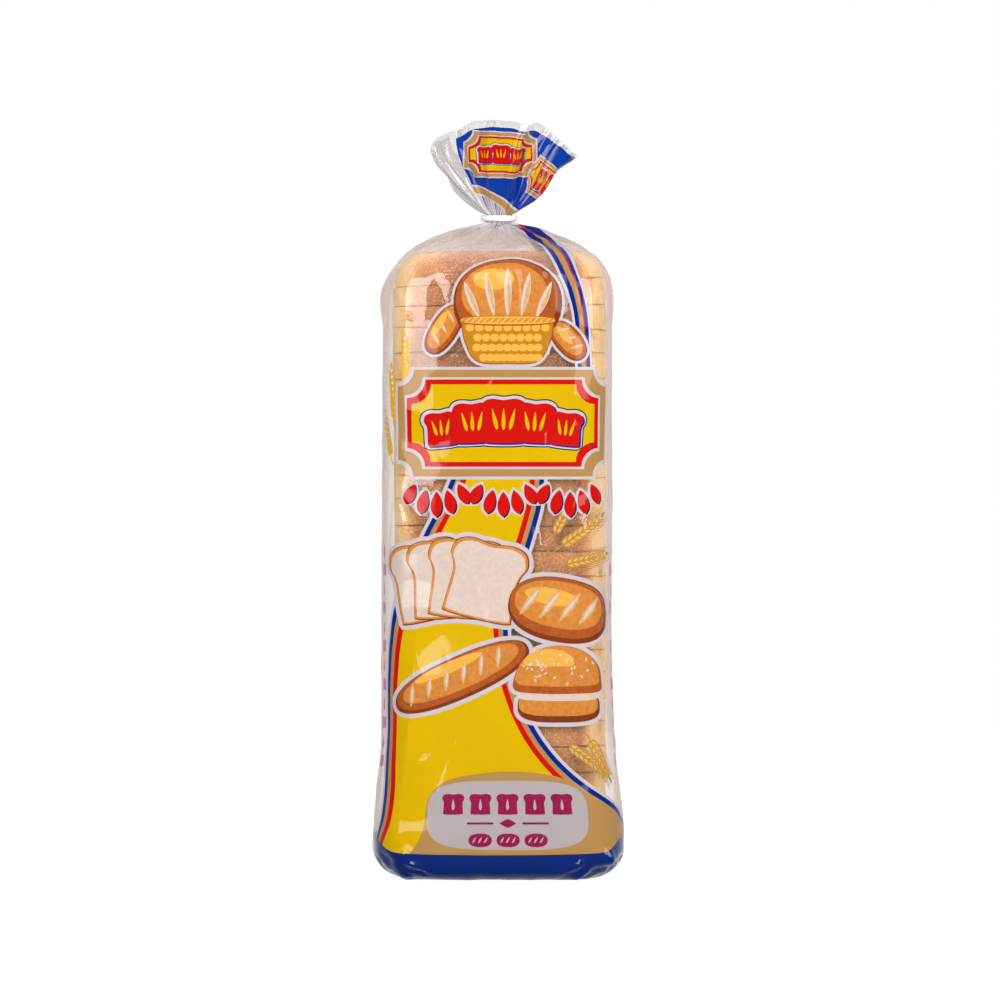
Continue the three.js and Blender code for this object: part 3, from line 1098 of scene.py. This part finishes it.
def ink_material(name, colour, roughness=0.35):
    """Ink under the film's own gloss, uneven in tone where it stands for bread."""
    n = Nodes("ink_" + name)
    if name in BREAD_INKS:
        grain = BREAD_INKS[name]
        tone = n.range(n.noise(520, 4, 0.75), 1 - 1.3 * grain, 1 + grain, (0.32, 0.68))
    else:
        tone = n.range(n.noise(45, 5, 0.7), 0.92, 1.06)
    return n.finished(n.principled([
        ("Coat Weight", 1.0 if name in FULL_COATS else 0.5),
        ("Coat Roughness", GLOSS_ROUGHNESS),
        ("Specular IOR Level", 0.0),
    ], [
        ("Base Color", n.mix_colour(1.0, colour, tone, "MULTIPLY")),
        ("Roughness", n.range(n.noise(120, 3), roughness * 0.8, roughness * 1.3)),
        ("Normal", film_bump(n, 0.25)),
    ]))


def crust_material():
    """Crust from pale to dark by how well baked it is and by the painted shade along each cut, blotched,
    grained and dusted with flour.
    """
    n = Nodes("crust")
    bake_and_cut_shade = n.add("ShaderNodeAttribute", attribute_name="bake_and_cut_shade", attribute_type="GEOMETRY")
    blotch = n.range(n.noise(60, 5, 0.7, 0.5), -0.13, 0.13, (0.33, 0.67))
    grain = n.range(n.noise(1100, 2, 0.75), -0.17, 0.17, (0.3, 0.7))
    level = n.math("ADD", n.math("ADD", bake_and_cut_shade.outputs["Fac"], blotch), grain, clamp=True)
    colour = n.ramp(level, [
        (0.0, linear(255, 222, 164)),
        (0.2, linear(255, 206, 134)),
        (0.45, linear(222, 152, 88)),
        (0.75, linear(180, 112, 62)),
        (1.0, linear(132, 76, 42)),
    ])
    flour = n.range(n.specks(900), 0.55, 0, (0.18, 0.4))
    patchy = n.math("MULTIPLY", flour, n.range(n.noise(110, 3), 0.3, 1.0, (0.35, 0.65)))
    relief = n.math("ADD", n.noise(420, 4, 0.65), n.math("MULTIPLY", n.noise(70, 3), 1.5))
    return n.finished(n.principled([("Roughness", 0.72), ("Specular IOR Level", 0.25)], [
        ("Base Color", n.mix_colour(patchy, colour, linear(250, 222, 186))),
        ("Normal", n.bump(relief, 0.0007, 0.6)),
    ]))


def crumb_material():
    n = Nodes("crumb")
    pores = n.noise(330, 4, 0.7)
    return n.finished(n.principled([("Roughness", 0.85), ("Specular IOR Level", 0.15)], [
        ("Base Color", n.ramp(pores, [(0.3, linear(214, 180, 128)), (0.6, linear(248, 228, 188))])),
        ("Normal", n.bump(pores, 0.0008, 0.8)),
    ]))


def band_material():
    n = Nodes("band_plastic")
    glow = [("Subsurface Weight", 0.1), ("Subsurface Radius", (0.001, 0.001, 0.001))]
    return n.finished(n.principled(glow, [
        ("Base Color", n.mix_colour(n.noise(400, 2), linear(208, 207, 213), linear(224, 223, 228))),
        ("Roughness", n.range(n.noise(300, 2), 0.28, 0.42)),
        ("Normal", n.bump(n.noise(700, 2, 0.5, 0, (1, 1, 6)), 0.0002, 0.4)),
    ]))


INKS = {
    "yellow": (180, 145, 0),
    "royal": (3, 44, 128),
    "foot_blue": (2, 30, 96),
    "blue": (2, 28, 106),
    "navy": (4, 12, 56),
    "red": (168, 12, 6),
    "gold": (148, 112, 64),
    "white": (168, 160, 163),
    "label_white": (148, 139, 140),
    "magenta": (122, 20, 60),
    "brown": (104, 44, 18),
    "chestnut": (142, 70, 28),
    "toast": (174, 110, 48),
    "straw": (196, 146, 58),
    "straw_dark": (158, 104, 24),
    "magenta_pale": (168, 98, 128),
    "tan": (180, 140, 92),
    "crumb_ink": (180, 163, 152),
}
# Inks that stand for bread, with the depth of their grain
BREAD_INKS = {"brown": 0.16, "chestnut": 0.16, "toast": 0.16, "tan": 0.14, "crumb_ink": 0.06}


def make_materials():
    made = {name: ink_material(name, linear(*colour)) for name, colour in INKS.items()}
    made["film"] = film_material()
    made["crust"] = crust_material()
    made["crumb"] = crumb_material()
    made["band_plastic"] = band_material()
    return made


# The print. Each function returns (ink, outline) pairs, painted in order.

EMBLEM_AT = (3, 206)
EMBLEM_SIZE = (48, 24)
EMBLEM_RINGS = (("white", 1.3), ("gold", 0.0), ("white", -3.4), ("red", -4.4), ("yellow", -6.6))
LABEL_AT = 4
RIBBON = (("white", 1.6), ("blue", 2.4), ("red", 0.8), ("gold", 3.2), ("blue", 2.8), ("white", 1.8))
FIELD_EDGE = (("red", 2.4), ("gold", 2.0), ("blue", 2.2), ("white", 1.5))
BACK = FILM_ROUND / 2  # u of the back's middle


def foot_band():
    """The blue foot, which climbs a little at the corners."""
    left, right = SEAM - 1, SEAM + FILM_ROUND + 1
    top = smooth_curve([(left, 18), (-70, 18.5), (-56, 19.5), (-47, 14.4), (-38, 12.6), (0, 11.9), (38, 12.6),
                        (47, 14.4), (56, 19.5), (70, 18.5), (130, 18), (right, 18)])
    return [("foot_blue", np.concatenate([top, [(right, FILM_FOOT - 1), (left, FILM_FOOT - 1)]]))]


def neck_ribbon(shift=0.0, side=1):
    """The striped ribbon that comes out of the gathered neck and sweeps down one side."""
    path = smooth_curve([
        (52, 322, 2.4), (44, 306, 2.0), (35, 291, 1.35), (33.2, 277, 0.9), (35.6, 264, 0.7), (38, 250, 0.64),
        (39.4, 226, 0.64),
    ])
    middle = path[:, :2] * (side, 1) + (shift, 0)
    return stripes(middle, RIBBON if side > 0 else RIBBON[::-1], 6.3, path[:, 2])


def yellow_field(shift=0.0, spread=1.0):
    """The yellow field that widens to the foot between two striped edges."""
    left = smooth_curve([
        (-10, 190), (-17, 172), (-29, 148), (-41, 118), (-45.5, 88), (-45.2, 60), (-44.4, 40), (-45.6, 27),
        (-49, 18), (-54, 8),
    ])
    right = smooth_curve([
        (15, 190), (14, 172), (8, 150), (-1, 122), (1, 92), (13, 62), (34, 38), (66, 19), (78, 13),
    ])
    left, right = left * (spread, 1) + (shift, 0), right * (spread, 1) + (shift, 0)
    base = np.array([(78 * spread + shift, 4), (-54 * spread + shift, 4)])
    return [
        *stripes(left, FIELD_EDGE),
        *stripes(right[::-1], FIELD_EDGE),
        ("yellow", np.concatenate([left[::-1], right, base])),
    ]


def plaque_outline(cu, cv, ru, rv, notch):
    """A long plate whose corners are cut out in quarter circles."""
    quarter = np.radians(np.linspace(-90, -180, 7))
    points = []
    for side_u, side_v in ((1, 1), (-1, 1), (-1, -1), (1, -1)):
        for a in quarter if side_u == side_v else quarter[::-1]:
            u, v = ru + notch * math.cos(a), rv + notch * math.sin(a)
            points.append((cu + side_u * u, cv + side_v * v))
    return in_steps(np.array(points))


def ringed(cu, cv, ru, rv, notch, view=None, grow=1.0):
    """An emblem's plate: one ring of colour inside the other. View maps its outlines."""
    made = []
    for ink, by in EMBLEM_RINGS:
        by *= grow
        outline = plaque_outline(cu, cv, ru + by, rv + by, notch - 0.2 * by)
        made.append((ink, outline if view is None else view(outline)))
    return made


def slice_row(cu, cv, sizes, pitch, arch, view=None):
    """A row of red bread slices on one white halo, each with a blue shadow."""
    middle = (len(sizes) - 1) / 2
    places = [(cu + (k - middle) * pitch, cv - arch * (k - middle) ** 2, size, -3 * (k - middle))
              for k, size in enumerate(sizes)]
    slices = [slice_outline(*place) for place in places]
    thick = sizes[0] / 16
    layers = [("navy", 2.1), ("white", 1.5)]
    made = [(ink, grown(outline, by * thick)) for ink, by in layers for outline in slices]
    made += [("blue", grown(outline, 0.15) + (0.8 * thick, -0.7 * thick)) for outline in slices]
    made += [("red", outline) for outline in slices]
    for u, v, size, turn in places:
        for side in (-1, 0, 1):
            cut = placed([(side * 0.2 * size, 0.04 * size)], u, v, turn)[0]
            made.append(("yellow", leaf(*cut, 0.5 * size, 0.09 * size, turn + 90 - 14 * side)))
    return [(ink, outline if view is None else view(outline)) for ink, outline in made]


def emblem(cu=EMBLEM_AT[0], cv=EMBLEM_AT[1], scale=1.0):
    """The notched plate with a row of five slices."""
    plate = ringed(cu, cv, EMBLEM_SIZE[0] * scale, EMBLEM_SIZE[1] * scale, 7.5 * scale)
    sizes = [scale * size for size in (15, 18, 20, 18, 15)]
    return plate + slice_row(cu, cv + 1.0 * scale, sizes, 14 * scale, 0.9 * scale)


def kernel_garland(cu, cv, half_width, swags, count, length):
    """Red kernels on swags that hang side by side, with white halos and dark shadows."""
    kernels = []
    for swag in range(swags):
        middle = cu + half_width * ((2 * swag + 1) / swags - 1)
        for k in range(count):
            s = 2 * (k + 0.5) / count - 1
            u, v = middle + s * half_width / swags, cv + 7.5 * s * s
            kernels.append(leaf(u, v, length * (1.1 - 0.25 * s * s), 0.5 * length, 90 + 34 * s, 0.8))
    made = [("white", grown(outline, 1.2)) for outline in kernels]
    made += [("navy", outline + (0.55, -0.5)) for outline in kernels]
    return made + [("red", outline) for outline in kernels]


def wheat_ear(u, v, turn, length, kernels, inks, awns=True, stalk=0.0):
    """An ear of wheat from its foot: kernels in pairs up a stem, each with a fine awn."""
    a = math.radians(turn)
    along, across = np.array([math.cos(a), math.sin(a)]), np.array([-math.sin(a), math.cos(a)])
    foot = np.array([u, v], float)
    made = []
    if stalk:
        path = smooth_curve([foot - along * stalk - across * 0.12 * stalk, foot - along * 0.4 * stalk, foot])
        made.append((inks[0], strip(path, 0.35, -0.35)))
    size = 1.75 * length / kernels
    for k in range(kernels):
        at = foot + along * length * (k + 0.3) / kernels
        for side in (-1, 1):
            place = at + across * side * 0.26 * size
            lean = turn + side * 24
            shrink = 1 - 0.35 * k / kernels
            if awns:
                tip = place + (along * 1.9 + across * side * 0.75) * size * shrink
                made.append((inks[0], strip(np.array([place, (place + tip) / 2, tip]), 0.16, -0.16)))
            made.append((inks[0], leaf(*place, size * shrink * 1.12, 0.56 * size * shrink, lean)))
            made.append((inks[1], leaf(*place, size * shrink * 0.78, 0.28 * size * shrink, lean)))
    tip = foot + along * (length + 0.25 * size)
    made.append((inks[0], leaf(*tip, size * 0.8, 0.4 * size, turn)))
    return made


def wheat():
    """Three ears up the left side of the front and five on its right half."""
    ears = [
        ((-40.8, 222), 93, 23, 9, ("straw", "yellow"), False, 10),
        ((-46.2, 209), 98, 22, 8, ("straw", "yellow"), False, 8),
        ((-50.0, 193), 105, 18, 7, ("straw", "yellow"), False, 6),
        ((31, 152), 34, 22, 8, ("gold", "straw"), True, 12),
        ((33, 143), 12, 20, 8, ("gold", "straw"), True, 14),
        ((27, 158), 62, 17, 7, ("gold", "straw"), True, 12),
        ((33, 60), -38, 20, 8, ("gold", "straw"), True, 8),
        ((42, 62), -62, 18, 7, ("gold", "straw"), True, 7),
    ]
    made = []
    for (u, v), *rest in ears:
        made += wheat_ear(u, v, *rest)
    return made


def score_cuts(cu, cv, turn, places, length, width, lean, inks=("tan", "crumb_ink")):
    """Slashes across a baked loaf that lies along turn."""
    made = []
    for place in places:
        at = placed([(place, 0.6)], cu, cv, turn)[0]
        made.append((inks[0], leaf(*at, length, width, turn + lean, 1.0)))
        made.append((inks[1], leaf(*(at + (0.2, 0.3)), length * 0.72, width * 0.45, turn + lean, 1.0)))
    return made


def round_loaf(cu, cv, ru, rv, turn, cuts):
    """A scored loaf with a dark underside and a lit back."""
    return [
        ("brown", superellipse(cu, cv, ru, rv, 2.3, turn)),
        ("chestnut", superellipse(cu - 0.2, cv + 0.07 * rv, ru * 0.96, rv * 0.91, 2.3, turn)),
        ("toast", superellipse(cu - 0.4, cv + 0.16 * rv, ru * 0.86, rv * 0.72, 2.2, turn)),
        ("straw", superellipse(cu - 0.18 * ru, cv + 0.42 * rv, ru * 0.5, rv * 0.26, 2, turn)),
        *score_cuts(cu, cv + 0.1 * rv, turn, cuts, rv * 1.15, rv * 0.24, 62),
    ]


def slice_fan(cu, cv, size, count, spread, pitch):
    """Slices in a fan, each over the edge of the one to its left."""
    made = []
    for k in range(count):
        s = k - (count - 1) / 2
        u, v, turn = cu + s * pitch, cv - 0.35 * s * s, -spread * s
        made += [
            ("brown", slice_outline(u, v, size, turn)),
            ("toast", slice_outline(u - 0.2, v + 0.1, size - 0.9, turn)),
            ("crumb_ink", slice_outline(u - 0.1, v - 0.2, size - 3.0, turn)),
        ]
    return made


def seeded_bun(cu, cv, ru, rv, rng):
    """A cut bun with seeds on its dome."""
    dome = smooth_curve([(cu + x * ru, cv + y * rv) for x, y in (
        (-0.96, -0.12), (-0.99, 0.2), (-0.78, 0.66), (-0.35, 0.94), (0.1, 1.0), (0.55, 0.86), (0.9, 0.5),
        (0.99, 0.1), (0.93, -0.14), (0.4, -0.2), (-0.4, -0.2))], closed=True)
    centre = np.array([cu, cv + 0.4 * rv])
    made = [
        ("brown", superellipse(cu, cv - 0.52 * rv, ru * 0.92, rv * 0.4, 3)),
        ("toast", superellipse(cu - 0.3, cv - 0.46 * rv, ru * 0.88, rv * 0.3, 3)),
        ("crumb_ink", superellipse(cu, cv - 0.24 * rv, ru * 0.93, rv * 0.14, 3)),
        ("chestnut", dome),
        ("toast", (dome - centre) * (0.93, 0.84) + centre + (-0.3, 0.09 * rv)),
        ("straw", (dome - centre) * (0.55, 0.36) + centre + (-0.22 * ru, 0.3 * rv)),
    ]
    for _ in range(34):
        s, r = rng.uniform(0, 2 * math.pi), math.sqrt(rng.uniform(0, 0.72))
        u, v = cu + 0.95 * ru * r * math.cos(s), cv + 0.44 * rv + 0.5 * rv * r * math.sin(s)
        made.append(("crumb_ink", leaf(u, v, 1.7, 0.85, rng.uniform(0, 180))))
    return made


def bread_pictures(rng):
    """Slices, an oval loaf, a long loaf and a seeded bun, each with a white outline."""
    fan = slice_fan(-18, 136, 36, 4, 9, 8.5)
    oval = round_loaf(29, 122, 24, 14.5, -10, (-14, -5, 4, 13))
    long_loaf = round_loaf(-16, 92, 33, 9.5, 24, (-24, -15.5, -7, 1.5, 10, 18.5))
    bun = seeded_bun(28, 88, 20.5, 18, rng)
    made = []
    for group in (fan, oval, long_loaf, bun):
        made += [("white", grown(outline, 1.9)) for _, outline in group
                 if np.ptp(outline[:, 0]) > 12 and np.ptp(outline[:, 1]) > 6]
    for group in (fan, oval, long_loaf, bun):
        made += group
    return made


def basket(cu, cv, ru, rv):
    """A woven bowl: rows of staggered slips between a plaited rim and a foot."""
    body = smooth_curve([(cu + x * ru, cv + y * rv) for x, y in (
        (-1, 1), (-0.93, 0), (-0.66, -1), (0, -1.12), (0.66, -1), (0.93, 0), (1, 1))])
    made = [("chestnut", grown(body, 0.5)), ("straw_dark", body)]
    rows, slips = 4, 9
    for row in range(rows):
        v = cv + rv * (0.66 - 0.5 * row)
        half = ru * (0.93 - 0.085 * row)
        for k in range(slips + row % 2):
            u = cu + half * ((2 * (k + 0.5 * (1 - row % 2))) / slips - 1)
            if abs(u - cu) < half:
                made.append(("straw", superellipse(u, v, ru / slips * 0.82, rv * 0.19, 2.4)))
    made.append(("chestnut", superellipse(cu, cv + rv, ru * 1.06, 2.3, 2.6)))
    made.append(("straw", superellipse(cu, cv + rv + 0.2, ru * 1.03, 1.8, 2.6)))
    for k in range(15):
        u = cu + ru * 1.9 * (k / 14 - 0.5)
        made.append(("toast", leaf(u, cv + rv + 0.2, 4.0, 1.1, 38, 1.0)))
    return made


def loaf_basket():
    """The motif over the emblem: a scored round loaf between two rolls, in a basket."""
    cu, cv = 4.5, 260.5
    bowl = basket(cu, 243, 20.5, 9)
    ball = [
        ("brown", superellipse(cu, cv, 24.5, 20.5, 2.2)),
        ("chestnut", superellipse(cu - 0.5, cv + 1.5, 23.0, 18.5, 2.2)),
        ("toast", superellipse(cu - 1.5, cv + 4.0, 19.5, 14.5, 2.1)),
        ("straw", superellipse(cu - 6.5, cv + 10.5, 9.5, 5.0, 2)),
    ]
    for k in range(-2, 3):
        u, v, turn = cu + 8.2 * k, cv - 0.9 * k * k, 90 - 12 * k
        ball.append(("crumb_ink", leaf(u, v + 4.5, 23 - 2.2 * abs(k), 3.4, turn, 1.0)))
        ball.append(("tan", leaf(u + 0.5, v + 4.2, 19 - 2 * abs(k), 1.7, turn, 1.0)))
    rolls = [
        *round_loaf(-24, 248, 12.5, 6.2, 58, (-6, 0, 6)),
        *round_loaf(32, 243, 10.5, 6.0, -48, (-5, 0, 5)),
    ]
    halo = [outline for _, outline in rolls + ball[:1] + bowl[:2] if np.ptp(outline[:, 0]) > 11]
    return [("white", grown(outline, 1.2)) for outline in halo] + rolls + ball + bowl


def label():
    """The white label over the foot, on a gold mound, with magenta slices and rules."""
    cu = LABEL_AT
    mound = smooth_curve([(cu + u, v) for u, v in (
        (-56, 6), (-43, 10), (-35.5, 22), (-33, 38), (-24, 46), (0, 49.5), (22, 47), (33, 39.5), (43, 33.5),
        (56, 26.7), (66, 21.6), (76, 17.2), (78, 6))])
    made = [("gold", mound), ("label_white", superellipse(cu, 29.8, 33.5, 15.6, 3.6))]
    for k in range(5):
        made.append(("magenta", slice_outline(cu + 11.4 * (k - 2), 34.8, 9.4)))
        made.append(("label_white", leaf(cu + 11.4 * (k - 2), 34.6, 5.0, 1.2, 90)))
    for side in (-1, 1):
        rule = np.array([(cu + side * 6, 26.2), (cu + side * 17, 26.2)])
        made.append(("magenta", strip(rule, 0.5, -0.5)))
    made.append(("magenta", superellipse(cu, 26.2, 3.4, 2.0, 1.2)))
    for k in range(3):
        made.append(("magenta", superellipse(cu + 11.5 * (k - 1), 18.6, 4.8, 3.1, 2.4)))
        for cut in (-1, 0, 1):
            made.append(("label_white", leaf(cu + 11.5 * (k - 1) + 2.4 * cut, 18.8, 3.2, 0.7, 62)))
    return made


def side_marks(u):
    """A column of magenta slices and kernels near a front corner, on the side of the bag."""
    made = []
    for k in range(12):
        v = 54 + 8.6 * k
        mark = leaf(u, v, 6.4, 3.4, 90) if k % 2 else slice_outline(u, v, 6.0, 90)
        made.append(("magenta_pale", mark))
    return made


def back_panel():
    """The back: a smaller emblem, a blank ruled table and the same field and ribbon."""
    table = [
        ("gold", superellipse(BACK, 118, 37.5, 41.5, 6)),
        ("label_white", superellipse(BACK, 118, 35.5, 39.5, 6)),
    ]
    for k in range(9):
        v = 148 - 7.4 * k
        half = 0.3 if k else 0.7
        table.append(("magenta", strip(np.array([(BACK - 28, v), (BACK + 28, v)]), half, -half)))
    made = yellow_field(BACK, 0.52) + table + emblem(BACK, 208, 0.82)
    for place in (-20, 0, 20):
        made += wheat_ear(BACK + place, 30, 90 - place, 19, 8, ("gold", "straw"), True, 10)
    return made


# The tail's print lies in folds, so its front is laid out as it is seen, in (x, z)

TAIL_BADGE = (0.9, 328.3)
TAIL_BADGE_SIZE = (16.8, 10)


def tail_field():
    """The blue field, its clear margins, and the white and gold bands towards the neck."""
    left = seen_at([(-19.6, 336.6), (-16.2, 325.0), (-12.8, 314.6)])
    top = [(-30, 368.2), (0, 369.4), (40, 369.0), (90, 370.6), (150, 369.5), (225, 369.0)]
    low = smooth_curve([
        left[-1], (-22, 341.5), (0, 338.0), (24, 334.6), (48, 332.6), (90, 332.0), (150, 332.4), (225, 333.0),
    ])
    field = np.concatenate([left[:1], smooth_curve(top), low[::-1]])
    return [
        ("white", strip(low, 0.7, -1.0)),
        ("gold", strip(low, -1.0, -4.2)),
        ("white", strip(low, -4.2, -5.0)),
        ("royal", field),
    ]


def neck_hints(rng):
    """Slips of colour that the gathered pleats show on both sides of the band."""
    made = []
    for k in range(36):
        ink = ("royal", "white", "royal", "blue", "white", "red")[k % 6]
        u, v = rng.normal(6, 16), rng.uniform(315, 337)
        made.append((ink, leaf(u, v, rng.uniform(7, 15), rng.uniform(0.7, 1.8), 90 + rng.normal(0, 6), 1.0)))
    return made


def tail_print(rng):
    """The tail's badges on its blue field: one on the front, one round the side and a blank one behind."""
    rings = 0.42  # width of the rings beside the emblem's
    return [
        *neck_hints(rng),
        *tail_field(),
        *ringed(*TAIL_BADGE, *TAIL_BADGE_SIZE, 4.4, seen_at, rings),
        *slice_row(TAIL_BADGE[0], TAIL_BADGE[1] + 0.3, (7.2, 8.4, 7.2), 7.4, 0.5, seen_at),
        *ringed(84, 351, 36, 9.5, 5, None, rings),
        *slice_row(84, 351, (11, 12, 11), 17, 0.3),
        *ringed(BACK - 5, 354, 42, 9.5, 5, None, rings),
    ]


def print_shapes():
    rng = np.random.default_rng(SEED + 1)
    return [
        *neck_ribbon(),
        *neck_ribbon(BACK, -1),
        *yellow_field(),
        *wheat(),
        *kernel_garland(3, 169.5, 45, 3, 5, 10.5),
        *bread_pictures(rng),
        *loaf_basket(),
        *emblem(),
        *side_marks(-57.2),
        *side_marks(60.4),
        *back_panel(),
        *label(),
        *foot_band(),
        *tail_print(rng),
    ]


# Stage, light and camera

CAMERA_DISTANCE = 3.2
CAMERA_HEIGHT_ANGLE = 0.3
FRAME_WIDTH = 0.4565  # metres across the picture at the bag
FRAME_MIDDLE = Vector((0.0005, 0, 0.1712))
FLOOR_RADIUS = 1.7
FLOOR_SIDES = 96
LIGHTS_AIM = 0.16  # height that the lights are turned to
FLOOR_GLOW = 0.5  # share of the floor's own white in what the camera sees
ROOM_LIGHT = (0.14, 0.85)  # in front of the bag and behind it
BOX_COLOUR = (1.0, 0.91, 0.92)


def floor():
    angles = [2 * math.pi * k / FLOOR_SIDES for k in range(FLOOR_SIDES)]
    ring = np.array([(FLOOR_RADIUS * math.cos(a), FLOOR_RADIUS * math.sin(a), 0) for a in angles])
    mesh = mesh_from("floor", ring, [tuple(range(FLOOR_SIDES))], smooth=False)
    n = Nodes("floor")
    colour = n.mix_colour(n.noise(3, 2), (0.44, 0.44, 0.44, 1), (0.47, 0.47, 0.47, 1))
    paper = n.principled([("Roughness", 0.9), ("Specular IOR Level", 0.1)], [("Base Color", colour)])
    sweep = n.add("ShaderNodeEmission", [("Strength", 1.8)])
    glow = n.math("MULTIPLY", n.add("ShaderNodeLightPath").outputs["Is Camera Ray"], FLOOR_GLOW)
    mesh.materials.append(n.finished(n.blend(glow, paper, sweep.outputs[0])))
    piece = added(mesh)
    piece.visible_glossy = False


def studio_world():
    """White to the eye. What it lights has a dim studio in front and a pale sweep behind."""
    n = Nodes("studio", world=True)
    seen = n.add("ShaderNodeBackground", [("Color", (1, 1, 1, 1)), ("Strength", 1.0)])
    room = n.add("ShaderNodeBackground", [("Color", (0.96, 0.98, 1, 1))])
    where = n.add("ShaderNodeSeparateXYZ")
    n.link(n.add("ShaderNodeTexCoord").outputs["Generated"], where.inputs[0])
    n.link(n.range(where.outputs["Y"], *ROOM_LIGHT, (-0.3, 0.4)), room.inputs["Strength"])
    camera_ray = n.add("ShaderNodeLightPath").outputs["Is Camera Ray"]
    bpy.context.scene.world = n.finished(n.blend(camera_ray, room.outputs[0], seen.outputs[0]))


def softbox(name, azimuth, height, distance, size, power, lit=True, mirrored=True):
    """A soft light at an azimuth from the front (to the right if positive), aimed at the bag. It lights the
    bag, or is mirrored in it, or both."""
    light = bpy.data.lights.new(name, "AREA")
    light.shape = "RECTANGLE"
    light.size, light.size_y = size
    light.energy = power
    light.color = BOX_COLOUR if mirrored else (1, 1, 1)
    lamp = bpy.data.objects.new(name, light)
    a = math.radians(azimuth)
    lamp.location = (distance * math.sin(a), -distance * math.cos(a), height)
    lamp.rotation_euler = (Vector((0, 0, LIGHTS_AIM)) - lamp.location).to_track_quat("-Z", "Y").to_euler()
    lamp.visible_diffuse = lit
    lamp.visible_glossy = mirrored
    bpy.context.scene.collection.objects.link(lamp)


def lights():
    softbox("left_mirror", -26, 0.86, 1.5, (1.18, 1.5), 36, lit=False)
    softbox("right_mirror", 33, 0.86, 1.5, (1.2, 1.36), 30, lit=False)
    softbox("left_box", -18, 0.62, 1.5, (0.72, 1.03), 16, mirrored=False)
    softbox("right_box", 46, 0.5, 1.5, (0.36, 0.9), 9, mirrored=False)
    softbox("key_box", -10, 1.1, 1.7, (1.4, 0.8), 12.5, mirrored=False)
    softbox("front_box", 12, 0.3, 2.2, (1.4, 0.5), 10, mirrored=False)
    softbox("fill_box", 55, 0.8, 1.8, (1.0, 1.0), 7, mirrored=False)
    softbox("top_box", 0, 2.3, 0.1, (3.2, 3.2), 21)


def camera():
    data = bpy.data.cameras.new("camera")
    data.sensor_width = 36
    data.lens = data.sensor_width * CAMERA_DISTANCE / FRAME_WIDTH
    data.clip_end = 50
    eye = bpy.data.objects.new("camera", data)
    a = math.radians(CAMERA_HEIGHT_ANGLE)
    eye.location = FRAME_MIDDLE + Vector((0, -CAMERA_DISTANCE * math.cos(a), CAMERA_DISTANCE * math.sin(a)))
    eye.rotation_euler = (FRAME_MIDDLE - eye.location).to_track_quat("-Z", "Y").to_euler()
    bpy.context.scene.collection.objects.link(eye)
    bpy.context.scene.camera = eye


def main():
    """The film, the slices and the band, then the stage."""
    rng = np.random.default_rng(SEED)
    materials = make_materials()
    film = film_object(print_shapes(), wrinkled_film(), materials)
    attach(film, "root")
    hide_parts("bag")
    cuts = loaf_cuts(rng)
    for number in range(SLICES):
        piece = slice_mesh(number, cuts, rng, materials)
        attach(piece, "root")
    band = band_mesh(materials)
    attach(band, "root")
    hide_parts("band")
    floor()
    studio_world()
    lights()
    camera()
    bpy.context.scene.view_settings.view_transform = "Standard"


main()
